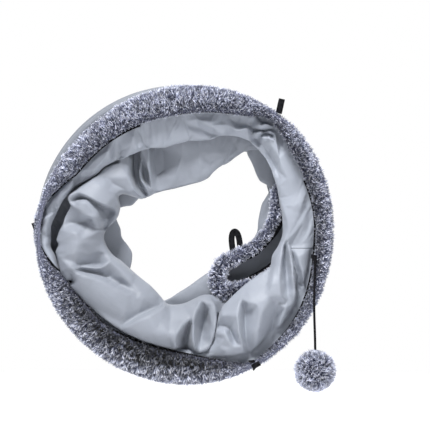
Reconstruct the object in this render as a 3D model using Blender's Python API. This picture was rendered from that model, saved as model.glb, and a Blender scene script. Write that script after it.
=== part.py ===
"""A collapsible cat tunnel, gathered to a stack of hoops as it hangs from one hand.

Five spring-wire hoops carry four bays of thin cloth. The first and last hoops wear a long-pile
plush sleeve, the three between run in narrow cloth casings, and the third bay has a peek hole
with a plush rim. A pompom hangs on a cord from the first opening.

The tunnel's length runs along +Y and its first opening faces -Y. +Z is up. The origin is on the
first hoop's wire, where the hand holds the stack. Sections round a hoop are drawn as
(out, along): metres beyond the wire, away from the hoop's centre, and metres along +Y.
"""

import math

import bmesh
import bpy
from mathutils import Matrix, Vector

# Running gap between two pieces that touch on the real tunnel
FIT_GAP = 0.0003

# Wire hoops
HOOP_RADIUS = 0.1745
WIRE_RADIUS = 0.0015
WIRE_SIDES = 6
RING_SEGMENTS = 48
WIRE_END_SPACE = 0.001
FERRULE_WALL = 0.0006
FERRULE_LENGTH = 0.018
FERRULE_ANGLE = 217.5

# How the hoops lie behind each other when the tunnel is gathered
FRONT_TO_SECOND = 0.036
SECOND_TO_THIRD = 0.018
THIRD_TO_FOURTH = 0.014
FOURTH_TO_REAR = 0.028
STACK_SHIFT = 0.006
STACK_SHIFT_ANGLE = 135.0
GRIP_ANGLE = 47.0

# Cloth
CLOTH_THICKNESS = 0.0008
CLOTH_SPACING = 0.0016
SEAM_GAP = 0.0006
CASING_WALL = 0.0012

# Plush sleeves of the first and last hoops
SLEEVE_OUTSIDE = 0.005
SLEEVE_HALF_THICKNESS = 0.009
SLEEVE_SEAM_ALONG = 0.014
SLEEVE_SEAM_HALF = 0.004
SLEEVE_SLOT_HALF = 0.001
TAPE_WIDTH = 0.0025
TAPE_HALF_THICKNESS = 0.0016

# Folds of the bays
FIRST_CREST_ALONG = 0.025
FIRST_BILLOW = 0.021
SECOND_BILLOW = 0.033
CREST_ROOM = 0.004
CREST_OPENING = 0.003
FOLD_DEPTH = 0.004

# Peek hole, whose rim keeps its share of the hoop's radius
PEEK_TRIM_RADIUS_SHARE = 0.0573
PEEK_TRIM_SIDES = 8
PEEK_SEGMENTS = 48
PEEK_TAPE_START_SHARE = 0.0309
PEEK_TAPE_END_SHARE = 0.0619
PEEK_TAPE_THICKNESS = 0.001
PEEK_EDGE_COVER = 0.001

# Ribbon loops
LOOP_LENGTH = 0.026
LOOP_WIDTH = 0.014
LOOP_NECK = 0.006
RIBBON_WIDTH = 0.006
RIBBON_THICKNESS = 0.0012
FRONT_LOOP_TOP_ANGLE = 51.5
FRONT_LOOP_TOP_LEAN = 26.0
FRONT_LOOP_ANGLES = {"front_loop_left": 177.0, "front_loop_bottom": 298.0}
REAR_LOOP_ANGLES = {"rear_loop_top": 60.0, "rear_loop_left": 180.0, "rear_loop_bottom": 300.0}
PEEK_LOOP_ANGLE = 96.0

# Cord and pompom
CORD_ANGLE = -10.0
CORD_RADIUS = 0.0015
CORD_LENGTH = 0.108
CORD_POINTS = 13
CORD_BOW = 0.0012
TAB_WIDTH = 0.005
TAB_THICKNESS = 0.0012
TAB_GAP = 0.0006
KNOT_RADIUS = 0.0032
KNOT_LENGTH = 0.009
KNOT_SIDES = 8
POMPOM_RADIUS = 0.0225
POMPOM_RINGS = 9
POMPOM_SIDES = 16

# Outline of the first hoop, bent by the hand's pull: angle, share of the hoop's radius
FRONT_OUTLINE_SHARES = [
    (0, 1.0), (45, 1.034), (90, 1.0), (135, 0.958), (180, 1.0), (240, 1.0), (298, 1.02),
]
ROUND_OUTLINE_SHARES = [(0, 1.0), (180, 1.0)]

# Seam between sleeve and lining: angle, share of the hoop's radius
FRONT_SEAM_SHARES = [
    (10, 0.92), (28, 0.92), (38, 0.94), (54, 1.0), (61, 0.94), (75, 0.88), (97, 0.832),
    (123, 0.838), (149, 0.86), (167, 0.94), (180, 0.985), (187, 0.955), (202, 0.853),
    (227, 0.838), (252, 0.812), (270, 0.832), (283, 0.894), (290, 0.95), (298, 1.01),
    (311, 1.0), (326, 0.975), (352, 0.91),
]
REAR_SEAM_SHARES = [(0, 0.85), (60, 0.9), (120, 0.83), (180, 0.9), (240, 0.84), (300, 0.9)]

# How far each sleeve keeps its thickness, pinched where the ribbon loops hold it
FRONT_PLUMP_SHARES = [
    (0, 1.0), (40, 0.95), (54, 0.5), (68, 0.95), (120, 1.0), (165, 0.8), (180, 0.36),
    (194, 0.8), (240, 1.0), (285, 0.8), (298, 0.36), (313, 0.6), (335, 0.85),
]
REAR_PLUMP_SHARES = [(0, 1.0), (60, 0.7), (120, 1.0), (180, 0.7), (240, 1.0), (300, 0.7)]

# Crest of each bay's fold: angle, share of the hoop's radius
FIRST_CREST_SHARES = [
    (0, 0.68), (10, 0.695), (25, 0.72), (45, 0.78), (60, 0.79), (70, 0.745), (90, 0.645),
    (105, 0.62), (123, 0.667), (135, 0.7), (155, 0.785), (165, 0.875), (180, 0.892),
    (190, 0.872), (202, 0.82), (225, 0.79), (252, 0.775), (270, 0.79), (281, 0.8),
    (288, 0.72), (298, 0.56), (318, 0.53), (340, 0.59),
]
SECOND_CREST_SHARES = [
    (0, 0.94), (30, 0.94), (45, 0.82), (57, 0.64), (63, 0.53), (71, 0.41), (90, 0.35),
    (110, 0.335), (130, 0.355), (149, 0.41), (160, 0.48), (170, 0.465), (187, 0.385),
    (213, 0.41), (240, 0.455), (255, 0.465), (270, 0.445), (283, 0.44), (290, 0.52),
    (297, 0.64), (305, 0.78), (316, 0.92), (335, 0.94),
]
THIRD_CREST_SHARES = [
    (0, 0.53), (10, 0.55), (20, 0.575), (30, 0.605), (45, 0.72), (57, 0.56), (75, 0.45),
    (90, 0.42), (130, 0.4), (152, 0.405), (160, 0.49), (180, 0.5), (220, 0.5), (240, 0.49),
    (255, 0.47), (270, 0.4), (285, 0.365), (300, 0.325), (315, 0.315), (330, 0.325),
    (341, 0.365), (350, 0.455),
]
FOURTH_CREST_SHARES = [
    (0, 0.62), (30, 0.68), (45, 0.76), (60, 0.66), (90, 0.5), (130, 0.47), (160, 0.56),
    (200, 0.57), (255, 0.57), (280, 0.5), (300, 0.45), (330, 0.46),
]

# Where the first and second bays billow towards the first opening: angle, share of the billow
FIRST_BILLOW_SHARES = [
    (0, 0.75), (25, 0.45), (60, 0.2), (100, 0.15), (160, 0.1), (200, 0.0), (280, 0.1),
    (292, 0.6), (300, 1.0), (320, 1.0), (340, 0.85),
]
SECOND_BILLOW_SHARES = [
    (0, 0.0), (110, 0.0), (126, 0.12), (140, 0.5), (160, 0.85), (180, 1.0), (230, 1.0),
    (268, 1.0), (282, 0.8), (291, 0.4), (300, 0.0), (330, 0.0),
]

# Main folds that run from the seam to the crest: angle, share of the fold depth
FIRST_FOLD_SHARES = [
    (0, 0.4), (12, -0.5), (24, 0.5), (40, -0.8), (52, 0.9), (64, -0.5), (82, 0.5), (98, -0.6),
    (112, 0.3), (128, -0.4), (143, 0.6), (158, -0.4), (180, 0.3), (205, 0.0), (285, 0.0),
    (293, 0.8), (301, -0.9), (309, 0.7), (317, -0.9), (325, 0.6), (335, -0.6), (345, 0.7),
]
SECOND_FOLD_SHARES = [
    (80, -0.4), (105, 0.4), (122, -1.0), (132, 1.0), (143, -0.7), (155, 0.8), (167, -0.9),
    (180, 0.7), (195, -0.4), (207, 1.0), (219, -0.8), (237, 0.7), (252, -0.9), (264, 0.4),
    (272, 0.9), (279, -1.0), (287, 0.6), (300, 0.0), (40, 0.0),
]
THIRD_FOLD_SHARES = [
    (60, 0.4), (85, -0.6), (110, 0.7), (140, -0.6), (170, 0.6), (200, -0.7), (230, 0.6),
    (255, -0.6), (275, 0.3), (300, 0.0), (30, 0.0),
]

# How flat the third bay's front layer lies, where the peek hole is cut: angle, share
PEEK_FLAT_SHARES = [(0, 1.0), (38, 1.0), (60, 0.0), (180, 0.0), (260, 0.0), (288, 1.0)]

# How far a sharp turn of the cloth's section may be drawn out to keep its thickness
MITER_LIMIT_SHARE = 0.5

# Centre line of the peek hole's rim, as shares of the hoop's radius right and up
PEEK_LOOP_SHARES = [
    (0.652, 0.300), (0.640, 0.215), (0.633, 0.124), (0.580, 0.012), (0.484, -0.096),
    (0.372, -0.152), (0.261, -0.227), (0.227, -0.330), (0.289, -0.402), (0.395, -0.388),
    (0.522, -0.334), (0.668, -0.230), (0.794, -0.080), (0.850, 0.096), (0.832, 0.250),
    (0.752, 0.348),
]
PEEK_RIBBON_SHARE = 0.3

# First bay, from its seam to its crest: share of the way, of the billow and of the fold's depth
FIRST_PANEL_SHARES = [(0.16, 0.0, 0.0), (0.42, 0.78, 0.7), (0.74, 1.0, 1.0)]
FIRST_CREST_BILLOW_SHARE = 0.5
FIRST_RETURN_BILLOW_SHARE = 0.25
FIRST_RETURN_SHARE = 0.09
FIRST_HALFWAY_SHARES = (0.5, 0.6)

# Second bay, from its shoulder to its crest: share of the way in, of the way along,
# of the billow and of the fold's depth, then its return to the hoop
SECOND_PANEL_SHARES = [
    (0.03, 0.05, 0.62, 0.2), (0.35, 0.14, 1.0, 1.0), (0.75, 0.25, 0.72, 0.8), (1.0, 0.46, 0.3, 0.0),
]
SECOND_RETURN_SHARES = [(0.1, 0.66), (0.5, 0.9)]
SECOND_SHOULDER_SHARE = 0.3
SECOND_FULL_SHARE = 0.25
SECOND_LEAST_FOLD_SHARE = 0.3

# Third and fourth bays: share of the way in to the crest, share of the way along
THIRD_STATION_SHARES = [
    (0.0, 0.0), (0.35, 0.16), (0.7, 0.3), (0.92, 0.38), (1.0, 0.5),
    (0.92, 0.62), (0.7, 0.7), (0.35, 0.84), (0.0, 1.0),
]
THIRD_FLAT_ALONG_SHARES = [0.0, 0.03, 0.05, 0.1, 0.5, 0.9, 0.95, 0.97, 1.0]
FOURTH_STATION_SHARES = [
    (0.0, 0.0), (0.45, 0.2), (0.88, 0.36), (1.0, 0.5), (0.88, 0.64), (0.45, 0.8), (0.0, 1.0),
]
FOLD_REACH_SHARE = 0.5

# Sections of a sleeve: share of the way to the seam or back, share of the half thickness
SLEEVE_SKIN_SHARES = [(0.6, 0.96), (0.2, 1.0)]
SLEEVE_BACK_SHARES = (0.62, 0.72)
WIRE_ROOM_SHARES = (0.6, 1.12)

# Outline of a ribbon loop from neck to top: share of its length, share of its half width
LOOP_OUTLINE_SHARES = [(0.22, 0.47), (0.5, 0.9), (0.78, 1.0), (0.93, 0.8), (1.0, 0.4)]

# Outline of the cord's knot: share of the way down, share of its radius
KNOT_OUTLINE_SHARES = [(0.0, 0.45), (0.2, 0.9), (0.5, 1.0), (0.8, 0.9), (1.0, 0.5)]

# Real cloth, plush and metal colours
CLOTH_COLOUR = (0.30, 0.33, 0.39, 1.0)
PLUSH_COLOUR = (0.28, 0.30, 0.40, 1.0)
BLACK_COLOUR = (0.012, 0.012, 0.015, 1.0)
STEEL_COLOUR = (0.55, 0.55, 0.56, 1.0)

# Sizes that follow from those above
HEXAGON_SHARE = math.cos(math.pi / WIRE_SIDES)
FERRULE_BORE = (WIRE_RADIUS + FIT_GAP) / HEXAGON_SHARE
FERRULE_RADIUS = FERRULE_BORE + FERRULE_WALL
WIRE_ROOM = FERRULE_RADIUS + FIT_GAP
CASING_RADIUS = WIRE_ROOM + CASING_WALL
CLOTH_EDGE_OUT = -(WIRE_ROOM + FIT_GAP)
SLEEVE_REACH_ALONG = SLEEVE_SEAM_ALONG + 2 * TAPE_WIDTH
SECOND_ALONG = FRONT_TO_SECOND
THIRD_ALONG = SECOND_ALONG + SECOND_TO_THIRD
FOURTH_ALONG = THIRD_ALONG + THIRD_TO_FOURTH
REAR_ALONG = FOURTH_ALONG + FOURTH_TO_REAR
PEEK_TRIM_RADIUS = HOOP_RADIUS * PEEK_TRIM_RADIUS_SHARE
PEEK_TAPE_START = HOOP_RADIUS * PEEK_TAPE_START_SHARE
PEEK_TAPE_END = HOOP_RADIUS * PEEK_TAPE_END_SHARE
PEEK_HOLE_INSET = PEEK_TAPE_END - PEEK_EDGE_COVER
PEEK_TRIM_FLAT = PEEK_TRIM_RADIUS * math.cos(math.pi / PEEK_TRIM_SIDES)
SLEEVE_LEAST_HALF = WIRE_ROOM + CASING_WALL


def clear_scene():
    """Removes the objects that a new Blender file starts with."""
    for item in list(bpy.data.objects):
        bpy.data.objects.remove(item, do_unlink=True)


def make_material(name, colour, roughness, metallic):
    """A plain Principled material with one finish."""
    material = bpy.data.materials.new(name)
    material.use_nodes = True
    shader = material.node_tree.nodes["Principled BSDF"]
    shader.inputs["Base Color"].default_value = colour
    shader.inputs["Roughness"].default_value = roughness
    shader.inputs["Metallic"].default_value = metallic
    return material


def mix(first, second, share):
    """The value that lies a share of the way from the first to the second."""
    return first + (second - first) * share


def keyed(table, angle):
    """Smooth value at an angle in degrees, from pairs that go once round a hoop."""
    keys = sorted(table)
    angle = angle % 360.0
    count = len(keys)
    after = next((i for i, key in enumerate(keys) if key[0] > angle), count)
    spread = [(keys[i % count][0] + 360.0 * (i // count), keys[i % count][1])
              for i in range(after - 2, after + 2)]
    (a0, v0), (a1, v1), (a2, v2), (a3, v3) = spread
    slope_1 = (v2 - v0) / (a2 - a0)
    slope_2 = (v3 - v1) / (a3 - a1)
    width = a2 - a1
    t = (angle - a1) / width
    return ((2 * t**3 - 3 * t**2 + 1) * v1 + (t**3 - 2 * t**2 + t) * width * slope_1
            + (3 * t**2 - 2 * t**3) * v2 + (t**3 - t**2) * width * slope_2)


class Hoop:
    """One hoop of the stack: where it lies, and the outline of its wire."""

    def __init__(self, along, shift_share, outline_shares):
        self.along = along
        turn = math.radians(STACK_SHIFT_ANGLE)
        grip = math.radians(GRIP_ANGLE)
        grip_radius = HOOP_RADIUS * keyed(FRONT_OUTLINE_SHARES, GRIP_ANGLE)
        shift = STACK_SHIFT * shift_share
        self.centre_x = shift * math.cos(turn) - grip_radius * math.cos(grip)
        self.centre_z = shift * math.sin(turn) - grip_radius * math.sin(grip)
        self.outline_shares = outline_shares

    def radius(self, angle):
        """The wire's distance from the centre, at an angle in degrees."""
        return HOOP_RADIUS * keyed(self.outline_shares, angle)

    def place(self, angle, out, along):
        """World point beside the wire."""
        turn = math.radians(angle)
        reach = self.radius(angle) + out
        return Vector((self.centre_x + reach * math.cos(turn), self.along + along,
                       self.centre_z + reach * math.sin(turn)))


FRONT = Hoop(0.0, 0.0, FRONT_OUTLINE_SHARES)
SECOND = Hoop(SECOND_ALONG, 0.2, ROUND_OUTLINE_SHARES)
THIRD = Hoop(THIRD_ALONG, 0.7, ROUND_OUTLINE_SHARES)
FOURTH = Hoop(FOURTH_ALONG, 1.0, ROUND_OUTLINE_SHARES)
REAR = Hoop(REAR_ALONG, -0.3, ROUND_OUTLINE_SHARES)


def ring_angles():
    """The angles of a hoop's sections, in degrees."""
    return [360.0 * k / RING_SEGMENTS for k in range(RING_SEGMENTS)]


def finish_mesh(name, mesh_data, material, smooth_angle):
    """Turns a bmesh into an object with its faces pointing out."""
    bmesh.ops.recalc_face_normals(mesh_data, faces=mesh_data.faces)
    mesh = bpy.data.meshes.new(name)
    mesh_data.to_mesh(mesh)
    mesh_data.free()
    mesh.shade_smooth()
    mesh.set_sharp_from_angle(angle=math.radians(smooth_angle))
    mesh.materials.append(material)
    made = bpy.data.objects.new(name, mesh)
    bpy.context.collection.objects.link(made)
    return made


def loft_faces(mesh_data, loops, closed):
    """Bridges each loop of points to the next, and the last to the first where closed."""
    rows = [[mesh_data.verts.new(point) for point in loop] for loop in loops]
    count = len(rows[0])
    steps = len(rows) if closed else len(rows) - 1
    for i in range(steps):
        here, after = rows[i], rows[(i + 1) % len(rows)]
        for j in range(count):
            k = (j + 1) % count
            mesh_data.faces.new((here[j], here[k], after[k], after[j]))
    return rows


def closed_loft(name, loops, material, smooth_angle=50.0):
    """A ring-shaped body through section loops."""
    mesh_data = bmesh.new()
    loft_faces(mesh_data, loops, closed=True)
    return finish_mesh(name, mesh_data, material, smooth_angle)


def cloth_loft(name, loops, material):
    """A ring of thin cloth, its two faces split along the same diagonals so they keep apart."""
    mesh_data = bmesh.new()
    rows = [[mesh_data.verts.new(point) for point in loop] for loop in loops]
    count = len(rows[0])
    for i, here in enumerate(rows):
        after = rows[(i + 1) % len(rows)]
        for j in range(count):
            k = (j + 1) % count
            if j < count // 2:
                mesh_data.faces.new((here[j], here[k], after[k]))
                mesh_data.faces.new((here[j], after[k], after[j]))
            else:
                mesh_data.faces.new((here[j], here[k], after[j]))
                mesh_data.faces.new((here[k], after[k], after[j]))
    return finish_mesh(name, mesh_data, material, 60.0)


def capped_loft(name, loops, material, smooth_angle=50.0):
    """A body through section loops, closed by a face at each end."""
    mesh_data = bmesh.new()
    rows = loft_faces(mesh_data, loops, closed=False)
    mesh_data.faces.new(rows[0])
    mesh_data.faces.new(rows[-1])
    return finish_mesh(name, mesh_data, material, smooth_angle)


def hexagon(radius):
    """Corners of a hexagon in a hoop's section, with flats towards the hoop's centre."""
    turns = [math.tau * (k + 0.5) / WIRE_SIDES for k in range(WIRE_SIDES)]
    return [(radius * math.cos(turn), radius * math.sin(turn)) for turn in turns]


def ring_sections(hoop, profile_at):
    """Section loops round a hoop from a function of the angle."""
    return [[hoop.place(angle, out, along) for out, along in profile_at(angle)]
            for angle in ring_angles()]


def chord_section(hoop, corners, share):
    """Section loop part of the way along the straight stretch that the ferrule grips."""
    step = 360.0 / RING_SEGMENTS
    before = [hoop.place(FERRULE_ANGLE, out, along) for out, along in corners]
    after = [hoop.place(FERRULE_ANGLE + step, out, along) for out, along in corners]
    return [a.lerp(b, share) for a, b in zip(before, after)]


def chord_share(hoop, distance):
    """Share of the ferrule's straight stretch that a distance from its middle reaches."""
    step = 360.0 / RING_SEGMENTS
    start = hoop.place(FERRULE_ANGLE, 0, 0)
    end = hoop.place(FERRULE_ANGLE + step, 0, 0)
    return 0.5 + distance / (end - start).length


def hoop_wire(name, hoop, material):
    """Spring wire bent once round, its two ends apart inside the ferrule."""
    corners = hexagon(WIRE_RADIUS)
    step = 360.0 / RING_SEGMENTS
    loops = [chord_section(hoop, corners, chord_share(hoop, WIRE_END_SPACE / 2))]
    for k in range(1, RING_SEGMENTS + 1):
        angle = FERRULE_ANGLE + step * k
        loops.append([hoop.place(angle, out, along) for out, along in corners])
    loops.append(chord_section(hoop, corners, chord_share(hoop, -WIRE_END_SPACE / 2)))
    return capped_loft(name, loops, material)


def hoop_ferrule(name, hoop, material):
    """Crimped tube that joins the wire's ends."""
    low = chord_share(hoop, -FERRULE_LENGTH / 2)
    high = chord_share(hoop, FERRULE_LENGTH / 2)
    outer = hexagon(FERRULE_RADIUS)
    inner = hexagon(FERRULE_BORE)
    loops = [chord_section(hoop, outer, low), chord_section(hoop, outer, high),
             chord_section(hoop, inner, high), chord_section(hoop, inner, low)]
    return closed_loft(name, loops, material)


def casing_profile(angle):
    """Cloth tunnel round the wire, open towards the hoop's centre where the bays are sewn in."""
    outer = hexagon(CASING_RADIUS / HEXAGON_SHARE)
    inner = hexagon(WIRE_ROOM / HEXAGON_SHARE)
    order = [2, 1, 0, 5, 4, 3]
    return [outer[k] for k in order] + [inner[k] for k in reversed(order)]


def hoop_casing(name, hoop, material):
    """Casing of one of the three middle hoops."""
    return closed_loft(name, ring_sections(hoop, casing_profile), material)


def seam_point(hoop, seam_shares, side, angle):
    """Where a sleeve's two edges meet: (out, along) beside the wire."""
    out = HOOP_RADIUS * keyed(seam_shares, angle) - hoop.radius(angle)
    return Vector((out, side * SLEEVE_SEAM_ALONG))


def sleeve_frame(hoop, seam_shares, side, angle):
    """Length of the sleeve's section, its direction to the seam and the direction across."""
    seam = seam_point(hoop, seam_shares, side, angle)
    toward = seam.normalized()
    across = Vector((-toward.y, toward.x))
    return seam.length, toward, across


def sleeve_profile(hoop, seam_shares, plump_shares, side, angle):
    """Section of the plush sleeve: a bag round the wire, its mouth at the seam."""
    length, toward, across = sleeve_frame(hoop, seam_shares, side, angle)
    plump = keyed(plump_shares, angle)
    half = max(SLEEVE_HALF_THICKNESS * plump, SLEEVE_LEAST_HALF)
    seam_half = max(SLEEVE_SEAM_HALF * plump, SLEEVE_SLOT_HALF + CASING_WALL)
    upper = [(length, seam_half)]
    upper += [(length * way, half * thick) for way, thick in SLEEVE_SKIN_SHARES]
    back_way, back_thick = SLEEVE_BACK_SHARES
    upper += [(-SLEEVE_OUTSIDE * back_way, half * back_thick), (-SLEEVE_OUTSIDE, 0.0)]
    outer = upper + [(u, -v) for u, v in reversed(upper[:-1])]
    side_way, back_way = WIRE_ROOM_SHARES
    lower = [(length, -SLEEVE_SLOT_HALF), (WIRE_ROOM * side_way, -WIRE_ROOM),
             (-WIRE_ROOM * side_way, -WIRE_ROOM)]
    inner = lower + [(-WIRE_ROOM * back_way, 0.0)] + [(u, -v) for u, v in reversed(lower)]
    return [tuple(toward * u + across * v) for u, v in outer + inner]


def plush_sleeve(name, hoop, seam_shares, plump_shares, side, material):
    """Long-pile sleeve of the first or last hoop."""
    def profile_at(angle):
        return sleeve_profile(hoop, seam_shares, plump_shares, side, angle)
    return closed_loft(name, ring_sections(hoop, profile_at), material, 70.0)


def tape_profile(hoop, seam_shares, side, angle):
    """Section of the binding tape that closes the sleeve's mouth."""
    length, toward, across = sleeve_frame(hoop, seam_shares, side, angle)
    near = length + FIT_GAP
    far = near + TAPE_WIDTH
    half = TAPE_HALF_THICKNESS
    corners = [(near, -half), (far, -half), (far, half), (near, half)]
    return [tuple(toward * u + across * v) for u, v in corners]


def binding_tape(name, hoop, seam_shares, side, material):
    """Binding tape along a sleeve's seam."""
    def profile_at(angle):
        return tape_profile(hoop, seam_shares, side, angle)
    return closed_loft(name, ring_sections(hoop, profile_at), material, 30.0)


def strip_outline(path):
    """Closed outline of a thin cloth section along a path of (radius, along) points."""
    runs = [(after - before).normalized() for before, after in zip(path, path[1:])]
    across = [Vector((-run.y, run.x)) for run in runs]
    sides = []
    for k in range(len(path)):
        one = across[max(k - 1, 0)]
        two = across[min(k, len(across) - 1)]
        miter = (one + two) / max(1 + one.dot(two), MITER_LIMIT_SHARE)
        sides.append(miter * (CLOTH_THICKNESS / 2))
    left = [point + side for point, side in zip(path, sides)]
    right = [point - side for point, side in zip(path, sides)]
    return left + right[::-1]


def centre_between(first, second, along):
    """Centre of the cloth's section between two hoops whose centres are shifted apart."""
    low = first.along + (SLEEVE_REACH_ALONG if first is FRONT else CASING_RADIUS)
    high = second.along - (SLEEVE_REACH_ALONG if second is REAR else CASING_RADIUS)
    share = min(max((along - low) / (high - low), 0.0), 1.0)
    return mix(first.centre_x, second.centre_x, share), mix(first.centre_z, second.centre_z, share)


def cloth_bay(name, first, second, path_at, material):
    """One bay of cloth between two hoops, from a function that gives its path at an angle."""
    loops = []
    for angle in ring_angles():
        turn = math.radians(angle)
        loop = []
        for reach, along in strip_outline(path_at(angle)):
            x, z = centre_between(first, second, along)
            loop.append(Vector((x + reach * math.cos(turn), along, z + reach * math.sin(turn))))
        loops.append(loop)
    return cloth_loft(name, loops, material)


def sleeve_start(hoop, seam_shares, side, angle):
    """Two (radius, along) points where a bay is sewn to the binding tape and leaves it."""
    length, toward, across = sleeve_frame(hoop, seam_shares, side, angle)
    sewn = toward * (length + FIT_GAP + TAPE_WIDTH + SEAM_GAP)
    wire = Vector((hoop.radius(angle), hoop.along))
    return wire + sewn, wire + sewn + toward * CLOTH_SPACING


def casing_edge(hoop, side, angle):
    """(radius, along) where a bay is sewn into a casing's mouth."""
    return Vector((hoop.radius(angle) + CLOTH_EDGE_OUT, hoop.along + side * CLOTH_SPACING / 2))


def first_bay_path(angle):
    """Lining of the first opening: over its lip, then back out to the second hoop."""
    sewn, start = sleeve_start(FRONT, FRONT_SEAM_SHARES, 1, angle)
    end = casing_edge(SECOND, -1, angle)
    crest = Vector((HOOP_RADIUS * keyed(FIRST_CREST_SHARES, angle), FIRST_CREST_ALONG))
    billow = FIRST_BILLOW * keyed(FIRST_BILLOW_SHARES, angle)
    fold = FOLD_DEPTH * keyed(FIRST_FOLD_SHARES, angle)
    path = [sewn, start]
    for share, forward, folded in FIRST_PANEL_SHARES:
        point = start.lerp(crest, share)
        point.y += fold * folded - billow * forward
        path.append(point)
    path.append(crest - Vector((0, billow * FIRST_CREST_BILLOW_SHARE)))
    back = crest.y + CREST_OPENING
    path.append(Vector((mix(crest.x, end.x, FIRST_RETURN_SHARE),
                        back - billow * FIRST_RETURN_BILLOW_SHARE)))
    out, along = FIRST_HALFWAY_SHARES
    path.append(Vector((mix(crest.x, end.x, out), mix(back, end.y, along))))
    path.append(end)
    return path


def second_bay_path(angle):
    """Second bay: a big billow inside the lip, round from the left to the bottom."""
    start = casing_edge(SECOND, 1, angle)
    end = casing_edge(THIRD, -1, angle)
    lip = HOOP_RADIUS * keyed(FIRST_CREST_SHARES, angle) - CREST_ROOM
    inner = HOOP_RADIUS * keyed(SECOND_CREST_SHARES, angle)
    share = min(max(keyed(SECOND_BILLOW_SHARES, angle), 0.0), 1.0)
    slack = mix(start.x, inner, SECOND_SHOULDER_SHARE)
    shoulder = mix(slack, lip, min(share / SECOND_FULL_SHARE, 1.0))
    fold = (FOLD_DEPTH * keyed(SECOND_FOLD_SHARES, angle)
            * min(max(share, SECOND_LEAST_FOLD_SHARE), 1.0))
    span = end.y - start.y
    billow = SECOND_BILLOW * share
    path = [start, Vector((shoulder + CLOTH_THICKNESS, start.y))]
    for inward, along, forward, folded in SECOND_PANEL_SHARES:
        path.append(Vector((mix(shoulder, inner, inward),
                            start.y + span * along - billow * forward + fold * folded)))
    for out, along in SECOND_RETURN_SHARES:
        path.append(Vector((mix(inner, end.x, out), start.y + span * along)))
    path.append(end)
    return path


def folded_path(start, end, stations, crest, fold):
    """Path of a bay that folds once, in to its crest and out again."""
    path = []
    for k, (inward, along) in enumerate(stations):
        edge = start.x if k < len(stations) / 2 else end.x
        path.append(Vector((mix(edge, crest, inward) + fold * inward,
                            mix(start.y, end.y, along))))
    return path


def third_bay_path(angle):
    """Third bay, whose front layer lies flat where the peek hole is cut."""
    flat = min(max(keyed(PEEK_FLAT_SHARES, angle), 0.0), 1.0)
    stations = [(inward, mix(along, flat_along, flat)) for (inward, along), flat_along
                in zip(THIRD_STATION_SHARES, THIRD_FLAT_ALONG_SHARES)]
    crest = HOOP_RADIUS * keyed(THIRD_CREST_SHARES, angle)
    fold = FOLD_DEPTH * FOLD_REACH_SHARE * keyed(THIRD_FOLD_SHARES, angle) * (1 - flat)
    return folded_path(casing_edge(THIRD, 1, angle), casing_edge(FOURTH, -1, angle),
                       stations, crest, fold)


def fourth_bay_path(angle):
    """Last bay, from the fourth hoop to the rear sleeve's tape."""
    sewn, end = sleeve_start(REAR, REAR_SEAM_SHARES, -1, angle)
    crest = HOOP_RADIUS * keyed(FOURTH_CREST_SHARES, angle)
    fold = FOLD_DEPTH * FOLD_REACH_SHARE * keyed(THIRD_FOLD_SHARES, angle)
    return folded_path(casing_edge(FOURTH, 1, angle), end, FOURTH_STATION_SHARES,
                       crest, fold) + [sewn]


def peek_centre_line():
    """Points and inward directions of the peek hole's rim, in the plane of the hoops."""
    count = len(PEEK_LOOP_SHARES)
    knots = [Vector(share) * HOOP_RADIUS for share in PEEK_LOOP_SHARES]
    points = []
    for k in range(PEEK_SEGMENTS):
        place = count * k / PEEK_SEGMENTS
        i = int(place)
        t = place - i
        p0, p1, p2, p3 = (knots[(i + n) % count] for n in (-1, 0, 1, 2))
        points.append(0.5 * (2 * p1 + (p2 - p0) * t + (2 * p0 - 5 * p1 + 4 * p2 - p3) * t**2
                             + (3 * p1 - p0 - 3 * p2 + p3) * t**3))
    inward = []
    for k in range(PEEK_SEGMENTS):
        run = (points[(k + 1) % PEEK_SEGMENTS] - points[k - 1]).normalized()
        inward.append(Vector((-run.y, run.x)))
    return points, inward


def peek_layer_along():
    """Where the third bay's front layer lies under the rim."""
    return casing_edge(THIRD, 1, 0).y - CLOTH_THICKNESS / 2


def peek_ring(name, section, material, smooth_angle):
    """A ring that follows the peek hole, from corners given as (inward, along)."""
    points, inward = peek_centre_line()
    loops = []
    for point, direction in zip(points, inward):
        loop = []
        for across, along in section:
            spot = point + direction * across
            loop.append(Vector((FRONT.centre_x + spot.x, along, FRONT.centre_z + spot.y)))
        loops.append(loop)
    return closed_loft(name, loops, material, smooth_angle)


def trim_along():
    """Where the peek hole's rim has its middle."""
    return peek_layer_along() - FIT_GAP - PEEK_TRIM_FLAT


def peek_trim(material):
    """Soft plush rim of the peek hole."""
    turns = [math.radians(360.0 * (k + 0.5) / PEEK_TRIM_SIDES) for k in range(PEEK_TRIM_SIDES)]
    section = [(PEEK_TRIM_RADIUS * math.cos(turn), trim_along() + PEEK_TRIM_RADIUS * math.sin(turn))
               for turn in turns]
    return peek_ring("peek_plush_trim", section, material, 60.0)


def peek_tape(material):
    """Binding tape between the rim and the cloth's cut edge."""
    back = peek_layer_along() - FIT_GAP
    front = back - PEEK_TAPE_THICKNESS
    section = [(PEEK_TAPE_START, front), (PEEK_TAPE_END, front),
               (PEEK_TAPE_END, back), (PEEK_TAPE_START, back)]
    return peek_ring("peek_binding_tape", section, material, 30.0)


def cut_peek_hole(bay):
    """Cuts the peek hole through the front layer of the third bay."""
    points, inward = peek_centre_line()
    front = peek_layer_along() - PEEK_TRIM_RADIUS
    back = (THIRD_ALONG + FOURTH_ALONG) / 2
    loops = []
    for along in (front, back):
        edge = [point + direction * PEEK_HOLE_INSET for point, direction in zip(points, inward)]
        loops.append([Vector((FRONT.centre_x + spot.x, along, FRONT.centre_z + spot.y))
                      for spot in edge])
    cutter = capped_loft("peek_hole_cutter", loops, bay.data.materials[0])
    cutter.hide_render = True
    cutter.display_type = "WIRE"
    cut = bay.modifiers.new("peek_hole", "BOOLEAN")
    cut.operation = "DIFFERENCE"
    cut.object = cutter


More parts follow.
